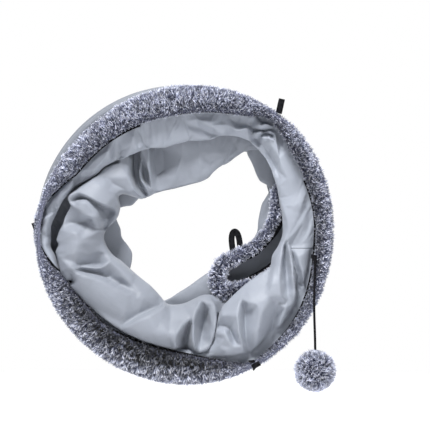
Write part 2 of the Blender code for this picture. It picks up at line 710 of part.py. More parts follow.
def ribbon_loop(name, root, rise, spread, material):
    """A ribbon doubled to a loop: it rises from its root and spreads to both sides."""
    rise = rise.normalized()
    spread = spread.normalized()
    width = rise.cross(spread).normalized() * (RIBBON_WIDTH / 2)
    half = LOOP_WIDTH / 2 - RIBBON_THICKNESS / 2
    neck = LOOP_NECK / 2 - RIBBON_THICKNESS / 2
    top = LOOP_LENGTH - RIBBON_THICKNESS / 2
    foot = RIBBON_THICKNESS / 2
    side = [(foot, neck)] + [(top * up, half * out) for up, out in LOOP_OUTLINE_SHARES]
    path = side + [(up, -out) for up, out in reversed(side)]
    loops = []
    for k, (up, out) in enumerate(path):
        before = path[k - 1]
        after = path[(k + 1) % len(path)]
        run = Vector((after[0] - before[0], after[1] - before[1])).normalized()
        normal = Vector((-run.y, run.x)) * (RIBBON_THICKNESS / 2)
        loop = []
        for thick, wide in [(1, 1), (1, -1), (-1, -1), (-1, 1)]:
            up_here = up + normal.x * thick
            out_here = out + normal.y * thick
            loop.append(root + rise * up_here + spread * out_here + width * wide)
        loops.append(loop)
    return closed_loft(name, loops, material, 40.0)


def radial(angle):
    """Direction away from a hoop's centre."""
    turn = math.radians(angle)
    return Vector((math.cos(turn), 0, math.sin(turn)))


def tangent(angle):
    """Direction round a hoop."""
    turn = math.radians(angle)
    return Vector((-math.sin(turn), 0, math.cos(turn)))


def sleeve_reach(hoop, seam_shares, plump_shares, side, angle, facing):
    """How far a sleeve reaches from its wire in a direction given as (out, along)."""
    profile = sleeve_profile(hoop, seam_shares, plump_shares, side, angle)
    return max(Vector(corner).dot(facing) for corner in profile)


def front_loops(material):
    """Three ties on the first hoop: one stands up, two lie back over the stack."""
    along = Vector((0, 1, 0))

    def clear(angle):
        return FIT_GAP + sleeve_reach(FRONT, FRONT_SEAM_SHARES, FRONT_PLUMP_SHARES, 1, angle,
                                      Vector((1, 0)))
    tipped = RIBBON_WIDTH / 2 * math.sin(math.radians(FRONT_LOOP_TOP_LEAN))
    root = FRONT.place(FRONT_LOOP_TOP_ANGLE, clear(FRONT_LOOP_TOP_ANGLE) + tipped, 0)
    rise = radial(FRONT_LOOP_TOP_ANGLE + FRONT_LOOP_TOP_LEAN)
    ribbon_loop("front_loop_top", root, rise, along, material)
    for name, angle in FRONT_LOOP_ANGLES.items():
        root = FRONT.place(angle, clear(angle) + RIBBON_WIDTH / 2, -RIBBON_THICKNESS)
        ribbon_loop(name, root, along, tangent(angle), material)


def rear_loops(material):
    """Three ties on the last hoop, lying inwards against its back."""
    for name, angle in REAR_LOOP_ANGLES.items():
        reach = sleeve_reach(REAR, REAR_SEAM_SHARES, REAR_PLUMP_SHARES, -1, angle, Vector((0, 1)))
        root = REAR.place(angle, 0, reach + FIT_GAP + RIBBON_WIDTH / 2)
        ribbon_loop(name, root, -radial(angle), tangent(angle), material)


def peek_loop(material):
    """Tie on the peek hole's rim."""
    points, inward = peek_centre_line()
    k = round(PEEK_RIBBON_SHARE * PEEK_SEGMENTS)
    outward = -inward[k]
    rise = radial(PEEK_LOOP_ANGLE)
    slant = abs(outward.x) * LOOP_NECK / 2 + FIT_GAP
    spot = points[k] + outward * PEEK_TRIM_FLAT
    root = Vector((FRONT.centre_x + spot.x, trim_along(), FRONT.centre_z + spot.y))
    root += rise * (slant / (outward.x * rise.x + outward.y * rise.z))
    ribbon_loop("peek_loop", root, rise, tangent(PEEK_LOOP_ANGLE), material)


def knot_place():
    """The knot's (out, along) beside the first hoop's wire, in front of the sleeve."""
    seam = seam_point(FRONT, FRONT_SEAM_SHARES, 1, CORD_ANGLE)
    return Vector((seam.x, -(SLEEVE_HALF_THICKNESS + FIT_GAP + CORD_RADIUS)))


def cord_top():
    """World point of the knot's middle, which the cord swings about."""
    out, along = knot_place()
    return FRONT.place(CORD_ANGLE, out, along)


def cord_tab(material):
    """Ribbon tab that brings the cord from the seam to the sleeve's front."""
    length, toward, across = sleeve_frame(FRONT, FRONT_SEAM_SHARES, 1, CORD_ANGLE)
    plump = keyed(FRONT_PLUMP_SHARES, CORD_ANGLE)
    clear = TAB_GAP + TAB_THICKNESS / 2
    bend_way, bend_thick = SLEEVE_SKIN_SHARES[0]
    path = [toward * length + across * (SLEEVE_SEAM_HALF * plump + clear),
            toward * (length * bend_way)
            + across * (SLEEVE_HALF_THICKNESS * plump * bend_thick + clear),
            knot_place() + Vector((0, KNOT_RADIUS + FIT_GAP))]
    loops = []
    for k, point in enumerate(path):
        before = path[max(k - 1, 0)]
        after = path[min(k + 1, len(path) - 1)]
        run = (after - before).normalized()
        normal = Vector((-run.y, run.x)) * (TAB_THICKNESS / 2)
        loop = []
        for thick, wide in [(1, 1), (1, -1), (-1, -1), (-1, 1)]:
            out, along = point + normal * thick
            spot = FRONT.place(CORD_ANGLE, out, along)
            loop.append(spot + tangent(CORD_ANGLE) * (TAB_WIDTH / 2 * wide))
        loops.append(loop)
    return capped_loft("cord_tab", loops, material, 30.0)


def cord_knot(material):
    """Knot between the tab and the cord."""
    top = cord_top()
    loops = []
    for down, wide in KNOT_OUTLINE_SHARES:
        loop = []
        for k in range(KNOT_SIDES):
            turn = math.tau * k / KNOT_SIDES
            reach = KNOT_RADIUS * wide
            loop.append(top + Vector((reach * math.cos(turn), reach * math.sin(turn),
                                      KNOT_LENGTH * (0.5 - down))))
        loops.append(loop)
    knot = capped_loft("cord_knot", loops, material)
    return set_origin(knot, top)


def set_origin(item, pivot):
    """Moves an object's origin to its joint without moving its shape."""
    item.data.transform(Matrix.Translation(-pivot))
    item.location = pivot
    return item


def pompom_cord(material):
    """Round cord that hangs from the knot, with a slight bow."""
    top = cord_top()
    start = top - Vector((0, 0, KNOT_LENGTH / 2 + FIT_GAP))
    curve = bpy.data.curves.new("pompom_cord", "CURVE")
    curve.dimensions = "3D"
    curve.bevel_depth = CORD_RADIUS
    curve.bevel_resolution = 2
    curve.use_fill_caps = True
    spline = curve.splines.new("POLY")
    spline.points.add(CORD_POINTS - 1)
    for k in range(CORD_POINTS):
        share = k / (CORD_POINTS - 1)
        bow = CORD_BOW * math.sin(math.pi * share) ** 2
        spot = start - Vector((bow, 0, CORD_LENGTH * share)) - top
        spline.points[k].co = (spot.x, spot.y, spot.z, 1)
    curve.materials.append(material)
    cord = bpy.data.objects.new("pompom_cord", curve)
    bpy.context.collection.objects.link(cord)
    cord.location = top
    return cord


def pompom(material):
    """Ball of cut pile at the cord's end, flattened where the cord goes in."""
    top = cord_top()
    entry = top - Vector((0, 0, KNOT_LENGTH / 2 + FIT_GAP + CORD_LENGTH + FIT_GAP))
    flat = math.asin(CORD_RADIUS / POMPOM_RADIUS)
    centre = entry - Vector((0, 0, POMPOM_RADIUS * math.cos(flat)))
    loops = []
    for ring in range(POMPOM_RINGS + 1):
        tilt = mix(flat, math.pi - flat, ring / POMPOM_RINGS)
        loop = []
        for k in range(POMPOM_SIDES):
            turn = math.radians(360.0 * k / POMPOM_SIDES)
            reach = POMPOM_RADIUS * math.sin(tilt)
            loop.append(centre + Vector((reach * math.cos(turn), reach * math.sin(turn),
                                         POMPOM_RADIUS * math.cos(tilt))))
        loops.append(loop)
    ball = capped_loft("pompom", loops, material, 70.0)
    return set_origin(ball, top)


def place_origin(item, hoop):
    """Puts a sliding piece's origin on its hoop's axis."""
    return set_origin(item, Vector((hoop.centre_x, hoop.along, hoop.centre_z)))


def middle_hoop(number, hoop, cloth, steel):
    """Casing, wire and ferrule of one of the three middle hoops."""
    casing = hoop_casing(f"hoop_{number}_casing", hoop, cloth)
    wire = hoop_wire(f"hoop_{number}_wire", hoop, steel)
    ferrule = hoop_ferrule(f"hoop_{number}_ferrule", hoop, steel)
    for item in (casing, wire, ferrule):
        place_origin(item, hoop)


def end_hoop(prefix, hoop, seam_shares, plump_shares, side, finishes):
    """Plush sleeve, wire, ferrule and tape of the first or last hoop."""
    plush, black, steel = finishes
    made = [plush_sleeve(f"{prefix}_plush_sleeve", hoop, seam_shares, plump_shares, side, plush),
            hoop_wire(f"{prefix}_hoop_wire", hoop, steel),
            hoop_ferrule(f"{prefix}_hoop_ferrule", hoop, steel),
            binding_tape(f"{prefix}_binding_tape", hoop, seam_shares, side, black)]
    for item in made:
        place_origin(item, hoop)


def build():
    """Builds every piece of the tunnel."""
    clear_scene()
    cloth = make_material("grey_cloth", CLOTH_COLOUR, 0.55, 0.0)
    plush = make_material("grey_plush", PLUSH_COLOUR, 0.95, 0.0)
    black = make_material("black_ribbon", BLACK_COLOUR, 0.75, 0.0)
    steel = make_material("spring_steel", STEEL_COLOUR, 0.35, 1.0)
    finishes = (plush, black, steel)
    end_hoop("front", FRONT, FRONT_SEAM_SHARES, FRONT_PLUMP_SHARES, 1, finishes)
    end_hoop("rear", REAR, REAR_SEAM_SHARES, REAR_PLUMP_SHARES, -1, finishes)
    middle_hoop(2, SECOND, cloth, steel)
    middle_hoop(3, THIRD, cloth, steel)
    middle_hoop(4, FOURTH, cloth, steel)
    cloth_bay("bay_1_fabric", FRONT, SECOND, first_bay_path, cloth)
    cloth_bay("bay_2_fabric", SECOND, THIRD, second_bay_path, cloth)
    third = cloth_bay("bay_3_fabric", THIRD, FOURTH, third_bay_path, cloth)
    cut_peek_hole(third)
    cloth_bay("bay_4_fabric", FOURTH, REAR, fourth_bay_path, cloth)
    peek_trim(plush)
    peek_tape(black)
    peek_loop(black)
    front_loops(black)
    rear_loops(black)
    cord_tab(black)
    cord_knot(black)
    pompom_cord(black)
    pompom(plush)


build()
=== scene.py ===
# %% [markdown]
# # A gathered cat tunnel with plush rims
#
# The real object is a tube of thin cloth on five spring-wire hoops. Held in one hand, its hoops lie
# on each other and the cloth between them bunches inwards in big soft folds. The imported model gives
# every hoop its true place, and the cells below dress it: pile on the rims, folded cloth in the
# bays, ribbon, cord and pompom. Everything is in metres, with +Y along the tunnel and +Z up.

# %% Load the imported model
import math

import bmesh
import bpy
import numpy as np
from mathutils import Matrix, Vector
from mathutils.bvhtree import BVHTree
from mathutils.geometry import delaunay_2d_cdt


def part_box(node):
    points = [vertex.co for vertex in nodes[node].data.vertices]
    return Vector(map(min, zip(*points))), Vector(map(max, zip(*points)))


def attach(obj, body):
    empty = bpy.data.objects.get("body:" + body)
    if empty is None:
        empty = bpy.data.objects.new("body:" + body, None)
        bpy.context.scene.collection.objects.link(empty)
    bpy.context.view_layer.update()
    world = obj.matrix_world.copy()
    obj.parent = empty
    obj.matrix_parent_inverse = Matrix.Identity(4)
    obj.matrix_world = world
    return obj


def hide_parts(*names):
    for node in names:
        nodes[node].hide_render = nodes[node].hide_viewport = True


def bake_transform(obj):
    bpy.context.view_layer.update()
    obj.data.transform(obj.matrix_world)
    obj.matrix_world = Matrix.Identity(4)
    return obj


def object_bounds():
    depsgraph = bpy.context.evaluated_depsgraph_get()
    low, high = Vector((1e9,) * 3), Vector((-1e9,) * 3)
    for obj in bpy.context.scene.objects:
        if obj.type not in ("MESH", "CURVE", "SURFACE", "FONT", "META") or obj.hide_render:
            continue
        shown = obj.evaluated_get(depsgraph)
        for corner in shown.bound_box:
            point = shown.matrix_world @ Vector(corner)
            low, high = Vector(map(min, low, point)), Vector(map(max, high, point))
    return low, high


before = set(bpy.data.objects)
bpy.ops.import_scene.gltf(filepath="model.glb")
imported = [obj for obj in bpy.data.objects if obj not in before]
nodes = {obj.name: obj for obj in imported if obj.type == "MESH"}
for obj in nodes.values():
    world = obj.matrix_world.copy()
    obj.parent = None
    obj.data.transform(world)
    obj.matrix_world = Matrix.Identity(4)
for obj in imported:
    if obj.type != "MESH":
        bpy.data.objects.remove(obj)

cad_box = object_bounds()

# %% [markdown]
# ## Where the photograph and the model meet
#
# A camera far away with a long lens sees almost no perspective, so one pixel is the same length all
# over the object. The two helpers here turn a pixel of the photograph into a place on the plane of
# the hoops, which is how each fold gets its place.

# %% Photo scale and camera
MM = 0.001
PIXEL = 1.2 * MM
IMAGE_PIXELS = 430
ORIGIN_PIXEL = (286.5, 124.1)
CAMERA_DISTANCE = 2.2
SENSOR_WIDTH = 36.0


def photo_x(pixel):
    """World X of a pixel column."""
    return (pixel - ORIGIN_PIXEL[0]) * PIXEL


def photo_z(pixel):
    """World Z of a pixel row."""
    return (ORIGIN_PIXEL[1] - pixel) * PIXEL


camera_data = bpy.data.cameras.new("camera")
camera_data.sensor_width = SENSOR_WIDTH
camera_data.lens = SENSOR_WIDTH * CAMERA_DISTANCE / (IMAGE_PIXELS * PIXEL)
camera = bpy.data.objects.new("camera", camera_data)
camera.location = (photo_x(IMAGE_PIXELS / 2), -CAMERA_DISTANCE, photo_z(IMAGE_PIXELS / 2))
camera.rotation_euler = (math.pi / 2, 0, 0)
bpy.context.collection.objects.link(camera)
bpy.context.scene.camera = camera
print("lens", round(camera_data.lens, 1), "mm")

# %% [markdown]
# ## The cord comes first
#
# The cord is a fixed length of thin black braid that hangs straight under its own weight. A curve
# with a round bevel is the plainest way to make it. It starts at the hinge's axis, a few
# millimetres above the end of the solid cord, so that it stays in its tab when it swings.

# %% Cord route
CORD_TOP = Vector((0.03384, -0.0108, -0.15960))
CORD_LENGTH = 0.1125
CORD_DIAMETER = 0.003
CORD_POINTS = 25
CORD_BOW = 0.0012


def round_curve(name, points, radius, resolution):
    """A curve with a round bevel through points."""
    curve = bpy.data.curves.new(name, "CURVE")
    curve.dimensions = "3D"
    curve.bevel_depth = radius
    curve.bevel_resolution = resolution
    curve.use_fill_caps = True
    line = curve.splines.new("POLY")
    line.points.add(len(points) - 1)
    for spot, point in zip(line.points, points):
        spot.co = (*point, 1)
    made = bpy.data.objects.new(name, curve)
    bpy.context.collection.objects.link(made)
    return made


cord_shares = [k / (CORD_POINTS - 1) for k in range(CORD_POINTS)]
cord = round_curve("braided_cord", [
    CORD_TOP - Vector((CORD_BOW * math.sin(math.pi * share) ** 2, 0, CORD_LENGTH * share))
    for share in cord_shares], CORD_DIAMETER / 2, 3)
print("cord", CORD_LENGTH, "m long")

# %% [markdown]
# ## Tables that go once round a hoop
#
# A fold's height changes from place to place round the ring. A short table of (angle, value) pairs
# says what it is at a few angles, and a smooth curve through them gives the rest. Angles run
# anticlockwise from +X, as seen from the front.

# %% Smooth tables
HOOP_RADIUS = 0.1745


def keyed(table, angles):
    """Smooth values at angles in degrees, from pairs that go once round."""
    keys = sorted(table)
    count = len(keys)
    places = np.array([keys[i % count][0] + 360.0 * (i // count) for i in range(-2, count + 3)])
    values = np.array([keys[i % count][1] for i in range(-2, count + 3)])
    angles = np.asarray(angles, float) % 360.0
    at = np.searchsorted(places, angles, side="right") - 1
    slopes = (values[2:] - values[:-2]) / (places[2:] - places[:-2])
    width = places[at + 1] - places[at]
    t = (angles - places[at]) / width
    start = slopes[at - 1] * width
    end = slopes[at] * width
    return ((2 * t**3 - 3 * t**2 + 1) * values[at] + (t**3 - 2 * t**2 + t) * start
            + (3 * t**2 - 2 * t**3) * values[at + 1] + (t**3 - t**2) * end)


def mix(first, second, share):
    """The value a share of the way from the first to the second."""
    return first + (second - first) * share


def full_turn(steps):
    """Angles in radians at even steps once round."""
    return np.arange(steps) * 2 * math.pi / steps


def smooth_step(value):
    """Eases from 0 to 1."""
    value = np.clip(value, 0.0, 1.0)
    return value * value * (3 - 2 * value)


def radial(angle):
    """Direction away from a hoop's centre, in the plane of the hoops."""
    turn = math.radians(angle)
    return Vector((math.cos(turn), 0, math.sin(turn)))


def tangent(angle):
    """Direction round a hoop."""
    turn = math.radians(angle)
    return Vector((-math.sin(turn), 0, math.cos(turn)))


print("halfway from 0 to 1 round a table:", float(keyed([(0, 0.0), (180, 1.0)], 90)))

# %% Outlines of the rims
FRONT_OUTLINE_SHARES = [
    (0, 1.0), (45, 1.034), (90, 1.0), (135, 0.958), (180, 1.0), (240, 1.0), (298, 1.02),
]
ROUND_OUTLINE_SHARES = [(0, 1.0), (180, 1.0)]
FRONT_SEAM_SHARES = [
    (10, 0.936), (28, 0.936), (38, 0.95), (54, 1.0), (61, 0.94), (75, 0.88), (97, 0.832),
    (123, 0.838), (149, 0.868), (158, 0.925), (166, 0.99), (173, 1.028), (182, 1.026), (191, 0.968),
    (202, 0.878), (212, 0.845), (227, 0.838), (252, 0.812), (270, 0.832), (283, 0.894), (290, 0.95),
    (298, 1.01), (311, 1.0), (326, 0.98), (352, 0.93),
]
REAR_SEAM_SHARES = [(0, 0.85), (60, 0.9), (120, 0.83), (180, 0.9), (240, 0.84), (300, 0.9)]
FRONT_PLUMP_SHARES = [
    (0, 1.0), (40, 0.95), (54, 0.5), (68, 0.95), (120, 1.0), (150, 0.95), (165, 0.5), (180, 0.3),
    (194, 0.7), (240, 1.0), (285, 0.8), (298, 0.36), (313, 0.5), (335, 0.7),
]
REAR_PLUMP_SHARES = [(0, 1.0), (60, 0.7), (120, 1.0), (180, 0.7), (240, 1.0), (300, 0.7)]
print("seam at the left:", round(float(keyed(FRONT_SEAM_SHARES, 180)) * HOOP_RADIUS, 4), "m")

# %% Hoops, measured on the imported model
def box_middle(node):
    """Middle of a CAD node's box."""
    low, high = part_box(node)
    return (low + high) / 2


class Hoop:
    """Centre, place along the tunnel and outline of one hoop."""

    def __init__(self, wire, outline_shares=ROUND_OUTLINE_SHARES, centre=None):
        middle = box_middle(wire)
        self.x, self.z = centre or (middle.x, middle.z)
        self.y = middle.y
        self.outline_shares = outline_shares

    def radius(self, angles):
        """Distance of the wire from the centre."""
        return HOOP_RADIUS * keyed(self.outline_shares, angles)


FRONT_CENTRE = (-0.12304, -0.13194)
FRONT = Hoop("front_hoop_wire", FRONT_OUTLINE_SHARES, FRONT_CENTRE)
SECOND = Hoop("hoop_2_wire")
THIRD = Hoop("hoop_3_wire")
FOURTH = Hoop("hoop_4_wire")
REAR = Hoop("rear_hoop_wire")
for name, hoop in (("front", FRONT), ("second", SECOND), ("third", THIRD), ("rear", REAR)):
    print(name, "hoop at", round(hoop.x, 4), round(hoop.y, 4), round(hoop.z, 4))

# %% Grids of points as meshes
def add_object(name, mesh, material=None):
    """Links a mesh into the scene as an object at the origin."""
    made = bpy.data.objects.new(name, mesh)
    bpy.context.collection.objects.link(made)
    if material:
        mesh.materials.append(material)
    return made


def grid_object(name, points, material, close_across=False, uv_size=None):
    """A ring of quads from points[round, across], closed round the ring."""
    rounds, acrosses = points.shape[:2]
    index = np.arange(rounds * acrosses).reshape(rounds, acrosses)
    after = np.roll(index, -1, axis=0)
    side, corner = np.roll(index, -1, axis=1), np.roll(after, -1, axis=1)
    faces = np.stack([index, side, corner, after], axis=-1)
    if not close_across:
        faces = faces[:, :-1]
    mesh = bpy.data.meshes.new(name)
    mesh.from_pydata(points.reshape(-1, 3).tolist(), [], faces.reshape(-1, 4).tolist())
    if uv_size:
        layer = mesh.uv_layers.new(name="UVMap")
        around, across = uv_size
        steps = acrosses if close_across else acrosses - 1
        u = np.repeat(np.arange(rounds), steps)
        v = np.tile(np.arange(steps), rounds)
        corners = np.stack([np.stack([u, v], -1), np.stack([u, v + 1], -1),
                            np.stack([u + 1, v + 1], -1), np.stack([u + 1, v], -1)], 1)
        scale = np.array([around / rounds, across / steps])
        layer.data.foreach_set("uv", (corners * scale).astype(np.float32).ravel())
    mesh.shade_smooth()
    return add_object(name, mesh, material)


# %% Read and write a mesh's points
def object_points(item):
    """The vertices of a mesh object as an array."""
    points = np.empty(len(item.data.vertices) * 3)
    item.data.vertices.foreach_get("co", points)
    return points.reshape(-1, 3)


def set_points(item, points):
    """Writes vertices back to a mesh object."""
    item.data.vertices.foreach_set("co", points.astype(np.float32).ravel())
    item.data.update()


def triangles(item):
    """How many triangles a mesh object has."""
    return sum(len(face.vertices) - 2 for face in item.data.polygons)


def set_attribute(item, label, values, kind="FLOAT", field="value"):
    """Stores a value under a name at each vertex of a mesh object."""
    attribute = item.data.attributes.new(label, kind, "POINT")
    attribute.data.foreach_set(field, np.asarray(values, np.float32).ravel())


def shown_mesh(item, name):
    """What an object shows, as a mesh of its own."""
    bpy.context.view_layer.update()
    shown = item.evaluated_get(bpy.context.evaluated_depsgraph_get())
    mesh = bpy.data.meshes.new_from_object(shown)
    mesh.name = name
    return mesh


# %% Tubes and strips
def edited_object(name, mesh, material):
    """Writes an edited mesh to a new object and frees it."""
    data = bpy.data.meshes.new(name)
    mesh.to_mesh(data)
    mesh.free()
    return add_object(name, data, material)


def tube_object(name, points, material, uv_size=None):
    """A closed tube from a grid of points, with its faces turned out."""
    made = grid_object(name, points, material, True, uv_size)
    mesh = bmesh.new()
    mesh.from_mesh(made.data)
    bmesh.ops.recalc_face_normals(mesh, faces=mesh.faces)
    mesh.to_mesh(made.data)
    mesh.free()
    return made


def strip_object(name, rings, material):
    """A strip with closed ends from rings of four corners."""
    mesh = bmesh.new()
    rows = [[mesh.verts.new(corner) for corner in ring] for ring in rings]
    for here, after in zip(rows, rows[1:]):
        for j in range(4):
            mesh.faces.new((here[j], here[(j + 1) % 4], after[(j + 1) % 4], after[j]))
    mesh.faces.new(rows[0])
    mesh.faces.new(rows[-1])
    bmesh.ops.recalc_face_normals(mesh, faces=mesh.faces)
    return edited_object(name, mesh, material)


print("a strip of 10 rings has", 9 * 4 + 2, "faces")

# %% [markdown]
# ## Materials
#
# Each finish is built from nodes. The cloth is a satin polyester: a fine plain weave that only
# roughens the light, with a soft sheen. Its pattern follows the cloth through the UV map, so it
# stays put when the cloth folds. Pile gets its colour from an attribute that runs from 0 at the
# root to 1 at the tip, because the real fibres are dark below and pale on top.

# %% Material helpers
def set_inputs(tree, node, inputs):
    """Gives a node's inputs plain values, or links them to sockets or nodes' first outputs."""
    for key, value in inputs.items():
        if isinstance(value, bpy.types.Node):
            value = value.outputs[0]
        if isinstance(value, bpy.types.NodeSocket):
            tree.links.new(value, node.inputs[key])
        else:
            node.inputs[key].default_value = value


def add_node(tree, kind, inputs=None, **settings):
    """A node with its properties set by name, and its inputs."""
    node = tree.nodes.new(kind)
    for key, value in settings.items():
        setattr(node, key, value)
    set_inputs(tree, node, inputs or {})
    return node


def math_node(tree, operation, *values):
    """A node that does one sum with values, sockets or nodes."""
    return add_node(tree, "ShaderNodeMath", dict(enumerate(values)), operation=operation)


def new_material(name):
    """A material, its node tree and its Principled shader."""
    material = bpy.data.materials.new(name)
    material.use_nodes = True
    return material, material.node_tree, material.node_tree.nodes["Principled BSDF"]


def colour_ramp(tree, factor, stops):
    """A colour ramp from (place, colour) pairs."""
    ramp = add_node(tree, "ShaderNodeValToRGB", {"Fac": factor})
    while len(ramp.color_ramp.elements) < len(stops):
        ramp.color_ramp.elements.new(0.5)
    for element, (place, colour) in zip(ramp.color_ramp.elements, stops):
        element.position = place
        element.color = (*colour, 1)
    return ramp


def object_place(tree):
    """Socket with the place on the object, in metres."""
    return add_node(tree, "ShaderNodeTexCoord").outputs["Object"]


WAVE_RATE = 20.0


def ribs(tree, place, axes, pitch, operation):
    """Fine ribs along two axes, joined to a weave."""
    inputs = {"Vector": place, "Scale": 1 / (pitch * WAVE_RATE)}
    waves = [add_node(tree, "ShaderNodeTexWave", inputs, bands_direction=axis, wave_profile="SIN")
             for axis in axes]
    return math_node(tree, operation, *(wave.outputs["Fac"] for wave in waves))


print("wave scale of ribs 1 mm apart:", round(1 / (MM * WAVE_RATE), 1))

# %% Satin cloth
CLOTH_DARK = (0.262, 0.284, 0.330)
CLOTH_LIGHT = (0.305, 0.330, 0.382)
SATIN_PAINTED_SHADE = 0.84
CHANNEL_PAINTED_SHADE = 0.66
WEAVE_PITCH = 0.7 * MM
PANEL_SEAM_WIDTH = 1.0 * MM
PANEL_SEAM_LEFT = photo_x(291.5)
PANEL_SEAM_LEVEL = photo_z(248.4)
PANEL_SEAM_COLOUR = (0.07, 0.08, 0.10, 1)


def panel_seam(tree, place, colour):
    """Darkens a colour along the stitched seam across the lining's right panel."""
    parts = add_node(tree, "ShaderNodeSeparateXYZ", {"Vector": place}).outputs
    near = math_node(tree, "COMPARE", parts["Z"], PANEL_SEAM_LEVEL, PANEL_SEAM_WIDTH / 2)
    right = math_node(tree, "GREATER_THAN", parts["X"], PANEL_SEAM_LEFT)
    both = math_node(tree, "MULTIPLY", near, right)
    mixer = add_node(tree, "ShaderNodeMix", {"Factor": both, "A": colour, "B": PANEL_SEAM_COLOUR},
                     data_type="RGBA")
    return mixer.outputs["Result"]


def cloth_material(name, shade, seamed=False):
    """Grey satin polyester with a fine weave and faint uneven tone, its colour scaled by a painted
    shade factor.
    """
    material, tree, shader = new_material(name)
    place = object_place(tree)
    tone = add_node(tree, "ShaderNodeTexNoise", {"Vector": place, "Scale": 22.0, "Detail": 4.0})
    colour = colour_ramp(tree, tone, [(0.3, [c * shade for c in CLOTH_DARK]),
                                      (0.7, [c * shade for c in CLOTH_LIGHT])])
    if seamed:
        colour = panel_seam(tree, place, colour.outputs["Color"])
    rough = add_node(tree, "ShaderNodeMapRange", {"Value": tone, "To Min": 0.50, "To Max": 0.62})
    unrolled = add_node(tree, "ShaderNodeUVMap", uv_map="UVMap")
    weave = add_node(tree, "ShaderNodeBump", {
        "Height": ribs(tree, unrolled, "XY", WEAVE_PITCH, "MULTIPLY"), "Strength": 0.25,
        "Distance": 0.08 * MM})
    crumple = add_node(tree, "ShaderNodeTexNoise", {
        "Vector": place, "Scale": 55.0, "Detail": 3.0, "Distortion": 0.6})
    soft = add_node(tree, "ShaderNodeBump", {
        "Height": crumple, "Normal": weave, "Strength": 0.5, "Distance": 1.2 * MM})
    set_inputs(tree, shader, {
        "Base Color": colour, "Roughness": rough, "Normal": soft, "Sheen Weight": 0.12,
        "Sheen Roughness": 0.4, "Specular IOR Level": 0.38})
    return material


# The deeper bays are the lining's own cloth, darkened as painted shade.
satin = cloth_material("satin_cloth_shaded", SATIN_PAINTED_SHADE)
lining = cloth_material("satin_lining", 1.0, seamed=True)
# The hoop channels are the same cloth, darkened further as painted shade.
shaded_channel_look = cloth_material("channel_cloth_shaded", CHANNEL_PAINTED_SHADE)
print("made", satin.name, lining.name, "and", shaded_channel_look.name)

# %% Plush pile and its backing
PILE_STOPS = [
    (0.0, (0.030, 0.036, 0.072)), (0.16, (0.09, 0.104, 0.17)), (0.32, (0.28, 0.305, 0.41)),
    (0.56, (0.60, 0.625, 0.75)), (1.0, (0.96, 0.965, 1.0)),
]
BACKING_STOPS = [(0.0, (0.16, 0.17, 0.24)), (1.0, (0.06, 0.066, 0.10))]


def pile_material():
    """Fibres, dark at the root and pale at the tip, each tuft a little lighter or darker at random,
    and darker where shade is painted on.
    """
    material, tree, shader = new_material("plush_pile")
    tip, tint, strand = (add_node(tree, "ShaderNodeAttribute", attribute_name=name).outputs["Fac"]
                         for name in ("tip", "tint", "strand"))
    pale = add_node(tree, "ShaderNodeMapRange", {"Value": strand, "To Min": 0.42, "To Max": 1.22})
    ramp = colour_ramp(tree, math_node(tree, "MULTIPLY", tip, pale), PILE_STOPS)
    shade = add_node(tree, "ShaderNodeMapRange", {"Value": tint, "To Min": 0.62, "To Max": 1.38},
                     clamp=False)
    mixer = add_node(tree, "ShaderNodeMix", {"Factor": 1.0, "A": ramp, "B": shade},
                     data_type="RGBA", blend_type="MULTIPLY")
    set_inputs(tree, shader, {"Base Color": mixer.outputs["Result"], "Roughness": 0.75,
                              "Sheen Weight": 0.15, "Specular IOR Level": 0.3})
    return material


def backing_material():
    """Knitted ground that the pile stands on, dark between the tufts."""
    material, tree, shader = new_material("pile_backing")
    knit = add_node(tree, "ShaderNodeTexVoronoi", {"Vector": object_place(tree), "Scale": 700.0})
    set_inputs(tree, shader, {
        "Base Color": colour_ramp(tree, knit, BACKING_STOPS), "Roughness": 0.95})
    return material


pile_look = pile_material()
backing_look = backing_material()
print("made", pile_look.name, "and", backing_look.name)

# %% Black ribbon, braid and steel
RIBBON_PITCH = 0.9 * MM
BRAID_PITCH = 0.6 * MM
RIBBON_STOPS = [(0.0, (0.004, 0.004, 0.005)), (1.0, (0.011, 0.011, 0.013))]


def ribbon_material(name, pitch, depth):
    """Black woven tape with fine ribs across it."""
    material, tree, shader = new_material(name)
    woven = ribs(tree, object_place(tree), "XZ", pitch, "MAXIMUM")
    bump = add_node(tree, "ShaderNodeBump", {"Height": woven, "Strength": 0.6, "Distance": depth})
    set_inputs(tree, shader, {
        "Base Color": colour_ramp(tree, woven, RIBBON_STOPS), "Normal": bump, "Roughness": 0.85,
        "Specular IOR Level": 0.04})
    return material


def steel_material():
    """Drawn spring wire, bare and slightly brushed."""
    material, tree, shader = new_material("spring_steel")
    grain = add_node(tree, "ShaderNodeTexNoise", {"Vector": object_place(tree), "Scale": 900.0})
    rough = add_node(tree, "ShaderNodeMapRange", {"Value": grain, "To Min": 0.25, "To Max": 0.45})
    set_inputs(tree, shader, {
        "Base Color": (0.55, 0.55, 0.56, 1), "Metallic": 1.0, "Roughness": rough})
    return material


ribbon_look = ribbon_material("black_ribbon", RIBBON_PITCH, 0.15 * MM)
braid_look = ribbon_material("black_braid", BRAID_PITCH, 0.2 * MM)
cord.data.materials.append(braid_look)
NODE_LOOKS = {("_wire", "_ferrule"): steel_material(), ("tape", "tab", "knot"): ribbon_look}
for name, item in nodes.items():
    for endings, look in NODE_LOOKS.items():
        if name.endswith(endings):
            item.data.materials.clear()
            item.data.materials.append(look)
print("materials:", [m.name for m in bpy.data.materials if m.users])

# %% [markdown]
# ## Folded cloth
#
# Each bay is one sheet that runs from hoop to hoop. Seen in section it is a line: from the seam in
# to a crest, and back out to the next hoop. That line is worked out at many angles, and the lines
# side by side make a grid, which Blender turns into a surface. The tables give the outline of the
# crest, taken from the photograph.

